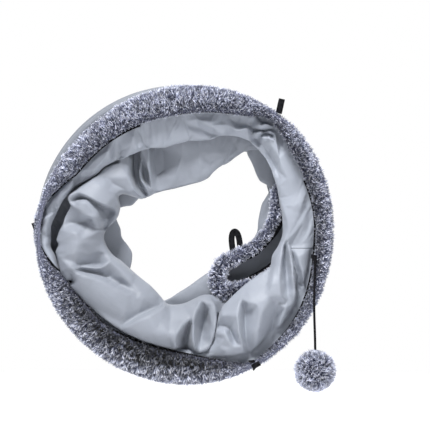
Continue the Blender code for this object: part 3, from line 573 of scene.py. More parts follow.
# %% Tables of the folds
FIRST_CREST_SHARES = [
    (0, 0.68), (8, 0.69), (20, 0.705), (32, 0.745), (45, 0.785), (58, 0.79), (69, 0.739),
    (75, 0.684), (93, 0.635), (103, 0.622), (115, 0.649), (127, 0.67), (133, 0.696), (140, 0.731),
    (146, 0.74), (157, 0.82), (163, 0.87), (170, 0.895), (176, 0.912), (181, 0.908), (185, 0.918),
    (189, 0.894), (195, 0.882), (202, 0.86), (212, 0.82), (225, 0.79), (252, 0.775), (270, 0.79),
    (281, 0.8), (285, 0.755), (288.5, 0.69), (294, 0.59), (303, 0.545), (318, 0.535), (331, 0.574),
    (340, 0.633), (347, 0.625), (354, 0.655),
]
SECOND_CREST_SHARES = [
    (0, 0.94), (30, 0.94), (45, 0.82), (53, 0.72), (58, 0.58), (61, 0.54), (67, 0.42), (80, 0.355),
    (98, 0.324), (115, 0.33), (131, 0.352), (137, 0.372), (141, 0.4), (145.5, 0.5), (149, 0.528),
    (154, 0.492), (160, 0.475), (167, 0.485), (175, 0.537), (180, 0.556), (186, 0.548),
    (195, 0.515), (203, 0.466), (217, 0.43), (234, 0.418), (243, 0.432), (250, 0.457), (257, 0.49),
    (264, 0.487), (271, 0.474), (279, 0.453), (286, 0.441), (293, 0.453), (300, 0.498),
    (303.5, 0.56), (308, 0.68), (316, 0.92), (335, 0.94),
]
THIRD_CREST_SHARES = [
    (0, 0.53), (10, 0.55), (20, 0.6), (27, 0.69), (34, 0.66), (45, 0.7), (50, 0.72), (54, 0.76),
    (57, 0.64), (59, 0.54), (70, 0.43), (90, 0.36), (125, 0.37), (147, 0.385), (152, 0.4),
    (159, 0.47), (166, 0.475), (176, 0.431), (184, 0.42), (192, 0.39), (201, 0.374), (209, 0.4),
    (217, 0.45), (234, 0.47), (246, 0.495), (254, 0.492), (259, 0.465), (266, 0.418), (277, 0.374),
    (289, 0.345), (302, 0.334), (315, 0.36), (330, 0.362), (341, 0.405), (350, 0.475),
]
FOURTH_CREST_SHARES = [
    (0, 0.62), (30, 0.68), (45, 0.76), (60, 0.66), (90, 0.5), (130, 0.47), (160, 0.56), (200, 0.57),
    (255, 0.57), (280, 0.5), (300, 0.45), (330, 0.46),
]
FIRST_BILLOW_SHARES = [
    (0, 0.42), (25, 0.35), (60, 0.2), (100, 0.15), (150, 0.2), (166, 0.72), (190, 0.72), (208, 0.2),
    (280, 0.1), (292, 0.6), (300, 1.0), (320, 1.0), (338, 0.75), (350, 0.5),
]
SECOND_BILLOW_SHARES = [
    (0, 0.0), (110, 0.0), (126, 0.12), (140, 0.5), (160, 0.85), (180, 1.0), (230, 1.0), (268, 1.0),
    (282, 0.8), (291, 0.4), (300, 0.0), (330, 0.0),
]
PEEK_FLAT_SHARES = [(0, 1.0), (38, 1.0), (60, 0.0), (180, 0.0), (260, 0.0), (288, 1.0)]
FIRST_PANEL_SHARES = [(0.16, 0.0), (0.42, 0.78), (0.74, 1.0)]
SEAM_GROOVE = 0.0022
SECOND_PANEL_SHARES = [
    (0.0, 0.05, 0.5, 0.7), (0.03, 0.05, 0.78, 1.0), (0.35, 0.14, 1.0, 0.0), (0.75, 0.25, 0.72, 0.0),
    (1.0, 0.46, 0.3, 0.0),
]
PLAIN_STATION_SHARES = [
    (0.0, 0.0), (0.35, 0.16), (0.7, 0.3), (0.92, 0.38), (1.0, 0.5), (0.92, 0.62), (0.7, 0.7),
    (0.35, 0.84), (0.0, 1.0),
]
FLAT_ALONG_SHARES = [0.0, 0.03, 0.05, 0.1, 0.5, 0.9, 0.95, 0.97, 1.0]
CRESTS = (FIRST_CREST_SHARES, SECOND_CREST_SHARES, THIRD_CREST_SHARES, FOURTH_CREST_SHARES)
print("places on the four crests:", [len(crest) for crest in CRESTS])

# %% Where the bays are sewn
SEAM_ALONG = 0.014
SEAM_LENGTH = 0.0012
CLOTH_EDGE_IN = 0.0033
CLOTH_SPACING = 0.0016
ROUND_STEPS = 600
ANGLES = np.arange(ROUND_STEPS) * 360.0 / ROUND_STEPS


def row(reach, along):
    """Stations (radius, along) for all the angles at once."""
    return np.stack([np.broadcast_to(value, ANGLES.shape) for value in (reach, along)], axis=-1)


def casing_edge(hoop, side):
    """Where a bay is sewn into a middle hoop's casing."""
    return row(hoop.radius(ANGLES) - CLOTH_EDGE_IN, hoop.y + side * CLOTH_SPACING / 2)


def sleeve_edge(hoop, seam_shares, side):
    """Where a bay leaves the binding tape of a plush sleeve."""
    out = HOOP_RADIUS * keyed(seam_shares, ANGLES) - hoop.radius(ANGLES)
    length = np.hypot(out, SEAM_ALONG)
    stretch = 1 + SEAM_LENGTH / length
    return row(hoop.radius(ANGLES) + out * stretch, hoop.y + side * SEAM_ALONG * stretch)


print("the lining starts at y", round(sleeve_edge(FRONT, FRONT_SEAM_SHARES, 1)[0, 1], 4), "m")

# %% Sections of the two front bays
FIRST_CREST_ALONG = 0.025
FIRST_BILLOW = 0.021
SECOND_BILLOW = 0.033
CREST_ROOM = 0.004
CREST_OPENING = 0.003
CLOTH_OVERHANG = 0.0042
GAP_ROOM_SHARES = [
    (0, 1.0), (140, 1.0), (157, 1.2), (162, 1.6), (165.5, 3.9), (170, 3.9), (175, 3.8), (179, 2.9),
    (182, 2.2), (184.5, 3.1), (188, 1.2), (205, 0.8), (262, 0.8), (275, 0.15), (290, 0.15),
    (300, 0.8),
]
GAP_DEPTH = 0.015
GAP_DEPTH_SHARES = [
    (0, 0.0), (132, 0.0), (144, 0.7), (158, 0.8), (168, 1.0), (186, 1.0), (194, 0.5), (206, 0.0),
    (300, 0.0),
]


def first_bay():
    """Stations of the first opening's lining, over its lip to hoop 2, and which is the crest."""
    start = sleeve_edge(FRONT, FRONT_SEAM_SHARES, 1)
    end = casing_edge(SECOND, -1)
    crest = HOOP_RADIUS * keyed(FIRST_CREST_SHARES, ANGLES)
    billow = FIRST_BILLOW * keyed(FIRST_BILLOW_SHARES, ANGLES)
    back = FIRST_CREST_ALONG + CREST_OPENING
    return [
        start, row(mix(start[:, 0], crest, 0.05), start[:, 1] + SEAM_GROOVE),
        *(row(mix(start[:, 0], crest, share),
              mix(start[:, 1], FIRST_CREST_ALONG, share) - billow * forward)
          for share, forward in FIRST_PANEL_SHARES),
        row(crest, FIRST_CREST_ALONG - billow / 2),
        row(mix(crest, end[:, 0], 0.09), back - billow / 4),
        row(mix(crest, end[:, 0], 0.5), mix(back, end[:, 1], 0.6)), end], 5


def second_bay():
    """Second bay, a big billow inside the lip from the left round to the bottom."""
    start = casing_edge(SECOND, 1)
    end = casing_edge(THIRD, -1)
    room = CREST_ROOM * keyed(GAP_ROOM_SHARES, ANGLES)
    lip = HOOP_RADIUS * keyed(FIRST_CREST_SHARES, ANGLES) - room
    inner = HOOP_RADIUS * keyed(SECOND_CREST_SHARES, ANGLES)
    share = np.clip(keyed(SECOND_BILLOW_SHARES, ANGLES), 0, 1)
    shoulder = mix(mix(start[:, 0], inner, 0.3), lip, np.minimum(share * 4, 1))
    span = end[:, 1] - start[:, 1]
    billow = SECOND_BILLOW * share
    over = CLOTH_OVERHANG * share
    wall = start[:, 1] + GAP_DEPTH * np.clip(keyed(GAP_DEPTH_SHARES, ANGLES), 0, 1)
    return [
        start, row(mix(start[:, 0], shoulder, 0.3), wall), row(shoulder, wall),
        *(row(mix(shoulder, inner, inward) + over * lean,
              start[:, 1] + span * along - billow * forward)
          for inward, along, forward, lean in SECOND_PANEL_SHARES),
        row(mix(inner, end[:, 0], 0.1), start[:, 1] + span * 0.66),
        row(mix(inner, end[:, 0], 0.5), start[:, 1] + span * 0.9), end], 7


print("stations in the two front bays:", len(first_bay()[0]), "and", len(second_bay()[0]))

# %% Sections of the two plain bays
def plain_bay(start, end, crest_shares, flat=0.0):
    """A bay that folds in to its crest and out again, level where it has to be flat."""
    crest = HOOP_RADIUS * keyed(crest_shares, ANGLES)
    stations = []
    for k, ((inward, along), flat_along) in enumerate(zip(PLAIN_STATION_SHARES, FLAT_ALONG_SHARES)):
        edge = start[:, 0] if k < len(PLAIN_STATION_SHARES) / 2 else end[:, 0]
        level = mix(along, flat_along, flat)
        stations.append(row(mix(edge, crest, inward), mix(start[:, 1], end[:, 1], level)))
    return stations, 4


def third_bay():
    """Third bay, flat where the peek hole is cut."""
    flat = np.clip(keyed(PEEK_FLAT_SHARES, ANGLES), 0, 1)
    return plain_bay(casing_edge(THIRD, 1), casing_edge(FOURTH, -1), THIRD_CREST_SHARES, flat)


def fourth_bay():
    """Last bay, from the fourth hoop to the rear sleeve."""
    return plain_bay(casing_edge(FOURTH, 1), sleeve_edge(REAR, REAR_SEAM_SHARES, -1),
                     FOURTH_CREST_SHARES)


SECTIONS = [bay() for bay in (first_bay, second_bay, third_bay, fourth_bay)]
print("stations in the four sections:", [len(stations) for stations, _ in SECTIONS])

# %% From sections to a surface
ACROSS_STEPS = 72
FINE_STEPS = 12


def spline(p0, p1, p2, p3, t):
    """Points a share of the way from the second to the third on a smooth curve through four."""
    return 0.5 * (2 * p1 + (p2 - p0) * t + (2 * p0 - 5 * p1 + 4 * p2 - p3) * t**2
                  + (3 * p1 - p0 - 3 * p2 + p3) * t**3)


def through_stations(stations, steps):
    """Points at even steps along smooth curves through the stations, and where each station is."""
    line = np.stack(stations, axis=1)
    padded = np.concatenate([2 * line[:, :1] - line[:, 1:2], line,
                             2 * line[:, -1:] - line[:, -2:-1]], 1)
    fine = [spline(*(padded[:, k + n] for n in range(4)), t)
            for k in range(line.shape[1] - 1) for t in np.arange(FINE_STEPS) / FINE_STEPS]
    fine = np.stack([*fine, line[:, -1]], axis=1)
    gaps = np.linalg.norm(np.diff(fine, axis=1), axis=-1)
    run = np.concatenate([np.zeros((len(fine), 1)), np.cumsum(gaps, axis=1)], axis=1)
    places = run[:, ::FINE_STEPS] / run[:, -1:]
    out = np.empty((len(fine), steps, 2))
    wanted = np.linspace(0, 1, steps)
    for k in range(len(fine)):
        share = run[k] / run[k, -1]
        for axis in (0, 1):
            out[k, :, axis] = np.interp(wanted, share, fine[k, :, axis])
    return out, places


def place_round(section, first, second):
    """World points of the sections, whose centre moves from one hoop's to the next's."""
    reach, along = section[..., 0], section[..., 1]
    share = np.clip((along - first.y) / (second.y - first.y), 0, 1)
    turn = np.radians(ANGLES)[:, None]
    x = mix(first.x, second.x, share) + reach * np.cos(turn)
    z = mix(first.z, second.z, share) + reach * np.sin(turn)
    return np.stack([x, along, z], axis=-1)


lip_places = through_stations(SECTIONS[0][0], ACROSS_STEPS)[1][:, SECTIONS[0][1]]
print("the lip is", round(float(lip_places.mean()), 2), "of the way across the lining")

# %% [markdown]
# ## Relief of the folds
#
# Stiff thin cloth doesn't wave, it breaks into flat facets between sharp ridges and valleys. Each
# line below was drawn over the photograph: points in pixels, each with its height in millimetres
# towards the viewer. A Delaunay triangulation keeps the lines as edges and fills the space between
# them with flat triangles, and every point of the cloth is then moved to that relief.

# %% Lines of the folds, as (pixel column, pixel row, height in millimetres)
FIRST_RELIEF = [
    [(181.2, 113.7, 1), (196, 118.4, 3), (210.7, 125.1, 4), (221.4, 133.2, 3)],
    [(183.9, 123.1, -1), (200, 125.8, -3), (214.7, 131.8, -3)],
    [(229.5, 118.4, -2), (237.5, 122.5, -4), (246.9, 123.4, -4), (250.9, 128.5, -3)],
    [(228.1, 123.8, 2), (237.5, 128.5, 4), (248.2, 126.5, 4), (249.5, 133.8, 2)],
    [(106.9, 139.9, 3), (108.9, 148.6, 4), (110.3, 157.9, 3)],
    [(117, 141.2, -2), (119.6, 151.2, -4), (121, 156.6, -3)],
    [(142.4, 141.2, -2), (147.1, 146.6, -3)],
    [(135.7, 141.9, 2), (141.1, 147.9, 3)],
    [(74.8, 173.3, -3), (77.5, 180, -4), (86.2, 176.7, -2)],
    [(83.5, 170, 2), (94.2, 170, 4), (103.6, 157.9, 4)],
    [(58, 188.7, 2), (64.7, 180.7, 3), (71.4, 176.7, 2)],
    [(49.5, 206, -2), (54, 203.5, -4), (58, 201.5, -3)],
    [(40, 216.6, -1), (50, 211.8, -3), (55.5, 208, -4)],
    [(38.4, 218.8, 1), (48.2, 214, 3), (53, 212, 3)],
    [(47.5, 234.8, -2), (50.5, 233.5, -4), (53, 235, -3)],
    [(285, 234.8, 4), (283.2, 240.7, 4), (281.7, 250.8, 5), (279.4, 266.1, 5), (278.8, 281.5, 5),
     (280.6, 294.5, 4)],
    [(283.9, 243.7, -3), (284.8, 256.7, -6), (286.5, 270.8, -6), (286.7, 285, -4),
     (286.5, 294.5, -1)],
    [(286.7, 236.6, 3), (289.8, 253.1, 5), (292.6, 270.8, 6), (293.8, 289.7, 5), (293, 302.7, 4)],
    [(289.1, 243.7, -2), (292.1, 253.1, -5), (295.7, 270.8, -7), (298.9, 288.5, -8),
     (300.9, 303.9, -7), (301.8, 309.8, -4)],
    [(295.3, 255.5, 2), (300, 270.8, 3), (303.9, 289.7, 3), (303.9, 309.8, 2)],
    [(280.6, 240.7, 3), (274.7, 255.5, 4), (272.9, 266.1, 4), (271.1, 281.5, 6)],
    [(271.1, 266.1, 0), (267.6, 273.2, -2), (266.4, 282.6, 0)],
    [(241.6, 297.4, 4), (247.5, 299.8, 5), (256.9, 302.5, 6), (264, 296.8, 5), (269.3, 288.5, 5)],
    [(244, 301.5, -2), (245.1, 311, -6), (244.6, 325.1, -6), (245.4, 339.3, -4),
     (248.1, 352.3, -1)],
    [(239.2, 300.4, 4), (237.5, 313.3, 5), (239, 329.9, 5), (242.2, 342.9, 4)],
    [(268.8, 294.5, 4), (262.9, 306.3, 6), (258.7, 315.7, 6), (255.8, 329.9, 5),
     (255.2, 342.9, 3)],
    [(274.7, 300.4, -1), (275.8, 311, -5), (271.7, 325.1, -5), (266.4, 341.7, -3)],
    [(286.5, 300.4, 2), (283.9, 306.3, 5), (281.2, 315.7, 5), (278.4, 324, 5), (281.7, 327.3, 3)],
    [(292.4, 312.2, -2), (287.6, 327.5, -3), (278.2, 341.7, -2)],
    [(215.9, 329.3, 4), (224.5, 328.9, 5), (227.4, 335.2, 5), (233.1, 344, 3)],
    [(217.4, 325.7, -4), (223.9, 323.7, -5), (229.8, 326.3, -5), (232.7, 333.4, -5),
     (237.5, 340.5, -2)],
    [(220.3, 313.3, 3), (229.8, 312.2, 4), (235.1, 306.3, 4)],
    [(219.2, 342.9, 3), (229.8, 353.5, 4), (241.6, 359.4, 3)],
    [(297.7, 203.5, 2), (300, 211.8, 0), (303, 221.8, 1)],
    [(282.9, 204.7, 2), (286.5, 218.9, 3), (287.6, 229.5, 3)],
    [(247, 123, -3), (252, 125.6, -6), (256.8, 129, -7), (264, 129.4, -6), (272, 128, -3)],
    [(261, 133, -4), (266, 132, -6), (271.5, 134, -3)],
    [(252.8, 129.5, -4), (252.8, 135.4, -4)],
    [(256.6, 137.4, -6), (258.8, 138.8, -6)],
    [(278.7, 129, -4), (279.6, 138, -3)],
    [(257, 126.8, 4), (264, 126.4, 5), (270, 126, 5), (277, 127, 3)],
    [(256, 132.4, 4), (261, 130.6, 5), (268, 130.6, 4), (275, 132.6, 3)],
    [(262, 136, 4), (268, 136.5, 5), (275.5, 139, 4)],
    [(262.5, 142, -2), (270, 152, -4), (277.5, 166, -4), (281, 176, -1)],
    [(270, 143, 3), (279, 158, 4), (288, 178, 3), (293, 194, 1)],
]
print("fold lines on the lining:", len(FIRST_RELIEF))

# %% Lines of the folds on the second bay
SECOND_RELIEF = [
    [(65.7, 200.3, 3), (75.6, 204.9, 4), (81.7, 208.7, 5), (83.3, 211.8, 4), (85.6, 212.5, 3),
     (92.4, 215.6, 5), (97, 221.7, 4), (100.1, 226.3, 3)],
    [(63, 223.3, 0), (68, 221, -4), (78.7, 221, -6), (84.8, 218.7, -6), (90.1, 217.1, -3)],
    [(67.2, 199.2, 4), (71, 193.4, 5), (77.9, 190.7, 4)],
    [(74.8, 197.2, -3), (79.4, 196.1, -7), (83.6, 195.3, -3)],
    [(77.9, 199.5, 4), (87.1, 198.8, 5), (98.6, 210.2, 4), (100.5, 221, 3)],
    [(87.8, 196.5, -3), (94, 200.7, -7), (100.1, 204.5, -9), (107.7, 206.8, -8), (113.1, 208, -4)],
    [(81, 191.9, 4), (90.9, 196.5, 5), (98.6, 200.7, 6), (106.2, 203.7, 7), (113.9, 205.7, 5),
     (117.7, 201.8, 4), (118.8, 194.2, 3)],
    [(101.6, 210.2, -8), (106.2, 215.6, -9), (103.9, 226.3, -7)],
    [(116.2, 210.2, 3), (114.6, 217.9, 3), (107, 227.1, 2)],
    [(94, 217.9, 4), (100.9, 227.8, 4), (102.4, 234, 3), (101.2, 249.3, 1)],
    [(77.1, 230.9, 5), (81, 237, 5), (77.1, 247.7, 5)],
    [(63, 227.8, 2), (62.2, 238.6, 2), (58.4, 252.3, 2)],
    [(75.6, 260.4, 2), (81.7, 256.5, 0), (90.9, 253.5, -1), (99.7, 251.2, -2)],
    [(81.7, 261.5, -4), (90.9, 261.9, -6), (99.7, 263.4, -7)],
    [(79.4, 265, 0), (90.9, 265.7, 2), (102, 265.7, 2), (110.8, 258.5, 4), (106.2, 251.9, 1)],
    [(79.8, 268, -5), (87.8, 269.5, -7), (98.6, 271.5, -7), (108.5, 276, -7), (121.5, 283.7, -6),
     (130.7, 287.9, -3)],
    [(72.2, 264.2, 7), (77.9, 269.9, 7), (87.8, 273.4, 6), (98.6, 276, 5), (106.2, 278.7, 5),
     (117.7, 285.2, 4), (129.2, 289.4, 3), (144.5, 295.2, 2)],
    [(71.8, 265, 7), (74.8, 273.8, 5), (77.1, 281.4, 4), (83.3, 292.1, 3), (90.1, 304.4, 2)],
    [(60.3, 256.2, 3), (66.4, 267.6, 4), (70.2, 276, 2)],
    [(73.7, 278.7, -4), (72.2, 270.7, 1)],
    [(113.9, 258.5, 4), (120.4, 266.1, 4), (126.1, 274.5, 3), (133, 282.9, 1)],
    [(104.7, 242, 3), (111.6, 253.9, 3), (121.5, 261.5, 3), (133, 270.7, 3)],
    [(119.1, 329.8, 4), (127.2, 324.1, 5), (138.7, 316.9, 5), (151.1, 310.7, 5),
     (164.5, 304.4, 4)],
    [(124.4, 322.2, 0), (137.8, 314.5, -4), (149.2, 309.4, -5), (159.8, 305.6, -4)],
    [(141.6, 336, 5), (155.9, 331.2, 5), (169.3, 331.2, 5)],
    [(161.7, 317.8, 3), (171.2, 319.8, 0), (182.7, 317.8, 2)],
    [(138.7, 341.8, 3), (155.9, 346.6, 3), (173.2, 348, 2)],
    [(191.3, 316.9, 3), (182.7, 323.6, 5), (177, 333.2, 6), (176.5, 345.6, 5)],
    [(190.9, 321.7, -5), (189.4, 329.3, -11), (186.1, 337, -13), (184.6, 345.6, -12)],
    [(193.7, 319.8, 4), (193.1, 331.2, 5), (194.2, 344.6, 6), (199.5, 349.9, 3)],
    [(201.4, 297.3, 4), (196.6, 308.3, 5), (194.7, 315.9, 4)],
    [(206.2, 308.3, -6), (206, 317.8, -12), (202.8, 327.4, -13), (200.4, 337, -9),
     (198.5, 343.7, -2)],
    [(214.8, 300.6, 5), (216.4, 311.1, 5), (214.8, 323.6, 6), (213.8, 331.2, 5),
     (211.4, 342.7, 3)],
    [(209.5, 306.4, 1), (210.5, 323.6, 0), (208.6, 335.1, 0)],
    [(137.3, 152.6, -14), (137.7, 166, -15), (139.5, 180.7, -13), (145.8, 191.4, -6)],
    [(143.7, 150.6, 4), (140, 170, 5), (142.4, 178, 4), (150.2, 193.4, 2)],
    [(146.2, 170.7, -11), (147.8, 178.7, -12)],
    [(151.1, 149.9, 4), (150.7, 170, 4), (151.5, 187.4, 3)],
    [(157.8, 148.6, -9), (157.1, 164.6, -8), (155.8, 180.7, -2)],
    [(181.9, 141.9, 2), (182.9, 152.6, 0)],
    [(199.3, 152.6, 2), (208, 160.6, -2), (217.4, 164.6, 0)],
    [(175.9, 174, 1), (189.3, 175.4, -1), (200, 171.3, 1)],
    [(230.8, 139.2, 1), (225.4, 151.2, 2), (223.8, 164, 2)],
    [(131.7, 157.9, 2), (130.4, 175.4, 4), (134.4, 188.7, 4), (143.7, 196.1, 3)],
    [(94.2, 178.7, 3), (92.9, 187.4, 4), (106.2, 188.7, 5), (117.6, 191.7, 5)],
    [(106.2, 175.4, -1), (112.9, 182, -2), (125, 187.4, 0)],
]
print("fold lines on the second bay:", len(SECOND_RELIEF))

# %% Faceted relief
RELIEF_GAIN = 1.85


def seen_flat(points):
    """Where the camera sees points on the plane y = 0, as world X and Z."""
    scale = CAMERA_DISTANCE / (CAMERA_DISTANCE + points[..., 1])
    x = camera.location.x + (points[..., 0] - camera.location.x) * scale
    z = camera.location.z + (points[..., 2] - camera.location.z) * scale
    return np.stack([x, z], axis=-1)


def relief_tree(creases, borders):
    """A faceted relief through the crease lines, level along the borders, for ray casts."""
    places, heights, edges = [], [], []
    for line in creases:
        first = len(places)
        for column, level, height in line:
            places.append(Vector((photo_x(column), photo_z(level))))
            heights.append(height * MM * RELIEF_GAIN)
        edges += [(k, k + 1) for k in range(first, len(places) - 1)]
    for border in borders:
        places += [Vector(spot) for spot in border]
        heights += [0.0] * len(border)
    spots, _, faces, sources, _, _ = delaunay_2d_cdt(places, edges, [], 0, 1e-6)
    levels = []
    for spot, source in zip(spots, sources):
        if source:
            levels.append(heights[source[0]])
        else:
            near = sorted(range(len(places)), key=lambda k: (places[k] - spot).length)[:2]
            levels.append(sum(heights[k] for k in near) / 2)
    corners = [Vector((*spot, level)) for spot, level in zip(spots, levels)]
    return BVHTree.FromPolygons(corners, faces)


def relief_heights(tree, flat):
    """Height of the relief at each place."""
    hits = (tree.ray_cast(Vector((x, z, 1.0)), Vector((0, 0, -1)))[0] for x, z in flat)
    return np.array([hit.z if hit else 0.0 for hit in hits])


print("the rear hoop is seen at", seen_flat(np.array([REAR.x, REAR.y, REAR.z])).round(4))

# %% Make the bays
BORDER_STEP = 9
RELIEF_START, RELIEF_START_FADE = 0.04, 0.1
RELIEF_END, RELIEF_END_FADE = 1.03, 0.05
OUTER_EDGE_SHARE = 0.1
CLOTH_UV_SIZE = (2 * math.pi * HOOP_RADIUS, 0.14)


def make_bay(name, sections, first, second, creases, material):
    """A bay of cloth as one sheet, with the relief of the photograph on its front."""
    stations, crest_station = sections
    section, places = through_stations(stations, ACROSS_STEPS)
    points = place_round(section, first, second)
    along = np.linspace(0, 1, ACROSS_STEPS)[None, :]
    crest = places[:, crest_station][:, None]
    if creases:
        flat = seen_flat(points)
        crest_step = np.round(crest[:, 0] * (ACROSS_STEPS - 1)).astype(int)
        reach = np.hypot(flat[..., 0] - FRONT.x, flat[..., 1] - FRONT.z)
        outer_step = np.argmax(reach * (along > OUTER_EDGE_SHARE), axis=1)
        rows = np.arange(0, ROUND_STEPS, BORDER_STEP)
        borders = [flat[rows, crest_step[rows]], flat[rows, outer_step[rows]]]
        tree = relief_tree(creases, borders)
        height = relief_heights(tree, flat.reshape(-1, 2)).reshape(points.shape[:2])
        front = (smooth_step((crest * RELIEF_END - along) / RELIEF_END_FADE)
                 * smooth_step((along - RELIEF_START) / RELIEF_START_FADE))
        points[..., 1] -= height * front
        beside = (np.roll(points, 1, axis=0) + np.roll(points, -1, axis=0))[:, 1:-1]
        inline = points[:, :-2] + points[:, 2:]
        points[:, 1:-1] = mix(points[:, 1:-1], (beside + inline) / 4, 0.5)
    return grid_object(name, points, material, uv_size=CLOTH_UV_SIZE)


bay_1 = make_bay("bay_1_lining", SECTIONS[0], FRONT, SECOND, FIRST_RELIEF, lining)
bay_2 = make_bay("bay_2_cloth", SECTIONS[1], SECOND, THIRD, SECOND_RELIEF, satin)
bay_3 = make_bay("bay_3_cloth", SECTIONS[2], THIRD, FOURTH, [], satin)
bay_4 = make_bay("bay_4_cloth", SECTIONS[3], FOURTH, REAR, [], satin)
BAYS = [bay_1, bay_2, bay_3, bay_4]
print("bays:", [triangles(bay) for bay in BAYS], "triangles")

# %% [markdown]
# ## Wrinkles by cloth simulation
#
# The folds are in place, but real cloth also puckers where it is sewn and sags between. A short
# cloth simulation adds that: both edges are pinned to their seams, the rest is held loosely to its
# place, and the cloth is made a little too big for it, so it has to wrinkle. The movement is
# capped, so the folds stay where the photograph has them.

# %% Cloth simulation
SIM_FRAMES = 13
SIM_REACH = 0.0028
SIM_HOLDS = ((1.0, -1.0, 0.02), (0.5, 0.02, 0.05), (0.05, 0.05, 2.0))
SIM_GRAVITY = 0.3
SIM_SETTINGS = {
    "quality": 4, "mass": 0.09, "tension_stiffness": 8.0, "compression_stiffness": 8.0,
    "shear_stiffness": 3.0, "bending_stiffness": 0.02, "vertex_group_mass": "held",
    "pin_stiffness": 1.0, "shrink_min": -0.05,
}


def settle_cloth(bay):
    """Lets a bay wrinkle between its pinned edges."""
    scene = bpy.context.scene
    rest = object_points(bay)
    across = np.tile(np.linspace(0, 1, ACROSS_STEPS), ROUND_STEPS)
    edge = np.minimum(across, 1 - across)
    group = bay.vertex_groups.new(name="held")
    for level, low, high in SIM_HOLDS:
        group.add(np.nonzero((edge > low) & (edge <= high))[0].tolist(), level, "REPLACE")
    cloth = bay.modifiers.new("cloth", "CLOTH")
    for key, value in SIM_SETTINGS.items():
        setattr(cloth.settings, key, value)
    cloth.settings.effector_weights.gravity = SIM_GRAVITY
    cloth.point_cache.frame_start = 1
    cloth.point_cache.frame_end = SIM_FRAMES
    for frame_number in range(1, SIM_FRAMES + 1):
        scene.frame_set(frame_number)
    shown = bay.evaluated_get(bpy.context.evaluated_depsgraph_get())
    step = object_points(shown) - rest
    bay.modifiers.remove(cloth)
    bay.vertex_groups.remove(group)
    scene.frame_set(1)
    size = np.linalg.norm(step, axis=1, keepdims=True)
    step *= SIM_REACH * np.tanh(size / SIM_REACH) / np.maximum(size, 1e-9)
    set_points(bay, rest + step)
    print(bay.name, "moved", round(float(size.mean()) / MM, 2), "mm on average")


for bay in BAYS:
    settle_cloth(bay)

# %% [markdown]
# ## The peek hole
#
# A round hole is cut through the third bay and bound with a padded plush rim. Gathered up, its rim
# lies in a long bent loop. The line below is the middle of that loop on the plane of the hoops, and
# a smooth closed curve through its points carries the rim, the tape and the edge of the hole.

# %% Line of the rim
PEEK_LOOP_SHARES = [
    (0.652, 0.3), (0.64, 0.215), (0.633, 0.124), (0.58, 0.012), (0.484, -0.096), (0.372, -0.152),
    (0.261, -0.227), (0.227, -0.33), (0.289, -0.402), (0.395, -0.388), (0.522, -0.334),
    (0.668, -0.23), (0.794, -0.08), (0.85, 0.096), (0.832, 0.25), (0.752, 0.348),
]
PEEK_STEPS = 160


def closed_curve(knots, steps):
    """Points at steps round a smooth closed curve, and the unit direction to its left."""
    knots = np.asarray(knots, float)
    count = len(knots)
    place = np.arange(steps) * count / steps
    i = place.astype(int)
    t = (place - i)[:, None]
    points = spline(*(knots[(i + n) % count] for n in (-1, 0, 1, 2)), t)
    run = np.roll(points, -1, axis=0) - np.roll(points, 1, axis=0)
    run /= np.linalg.norm(run, axis=1, keepdims=True)
    return points, np.stack([-run[:, 1], run[:, 0]], axis=1)


peek_line, peek_inward = closed_curve(np.array(PEEK_LOOP_SHARES) * HOOP_RADIUS, PEEK_STEPS)
peek_line = peek_line + np.array([FRONT.x, FRONT.z])
trim_low, trim_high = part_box("peek_plush_trim")
TRIM_ALONG = (trim_low.y + trim_high.y) / 2
print("rim lies at y", round(TRIM_ALONG, 4))

# %% Cut the hole
HOLE_INSET = 0.0098


def inside_outline(points, outline):
    """Which points lie inside a closed outline, by counting crossings."""
    inside = np.zeros(len(points), bool)
    x, z = points[:, 0], points[:, 1]
    for a, b in zip(outline, np.roll(outline, -1, axis=0)):
        crosses = (a[1] > z) != (b[1] > z)
        level = (z - a[1]) / (b[1] - a[1] + 1e-12)
        inside ^= crosses & (x < a[0] + level * (b[0] - a[0]))
    return inside


def cut_hole(bay, outline, back):
    """Deletes the faces of a bay whose middle lies inside an outline and in front of a depth."""
    mesh = bmesh.new()
    mesh.from_mesh(bay.data)
    centres = np.array([face.calc_center_median() for face in mesh.faces])
    gone = inside_outline(centres[:, [0, 2]], outline) & (centres[:, 1] < back)
    faces = [face for face, cut in zip(mesh.faces, gone) if cut]
    bmesh.ops.delete(mesh, geom=faces, context="FACES")
    mesh.to_mesh(bay.data)
    mesh.free()
    return len(faces)


hole_outline = peek_line + peek_inward * HOLE_INSET
print("cut", cut_hole(bay_3, hole_outline, (THIRD.y + FOURTH.y) / 2), "faces from the third bay")

# %% [markdown]
# ## Plush backing
#
# The rims are bags of plush cloth round a wire. The pile hides them, but it needs something to
# stand on, so each rim starts as a smooth tube, a little thinner than the solid model. Where the
# ribbon loops are sewn on, the tube is pinched.

# %% Tubes under the pile
SLEEVE_SECTION_STEPS = 20
SLEEVE_BACK = 0.0032
SLEEVE_HALF = 0.0060
SLEEVE_LEAST = 0.0026
SLEEVE_ROUND_STEPS = 300


def round_hoop(hoop, angles, section):
    """World points of sections, given as (out, along) from a hoop's wire."""
    turn = np.radians(angles)[:, None]
    radius = hoop.radius(angles)[:, None] + section[..., 0]
    return np.stack([hoop.x + radius * np.cos(turn), hoop.y + section[..., 1],
                     hoop.z + radius * np.sin(turn)], axis=-1)


def seam_frame(hoop, seam_shares, side):
    """Angles round a rim, how far its seam is, and the directions to the seam and across."""
    angles = np.arange(SLEEVE_ROUND_STEPS) * 360.0 / SLEEVE_ROUND_STEPS
    out = HOOP_RADIUS * keyed(seam_shares, angles) - hoop.radius(angles)
    length = np.hypot(out, SEAM_ALONG)
    toward = np.stack([out / length, side * SEAM_ALONG / length], axis=-1)
    return angles, length, toward, np.stack([-toward[:, 1], toward[:, 0]], axis=-1)


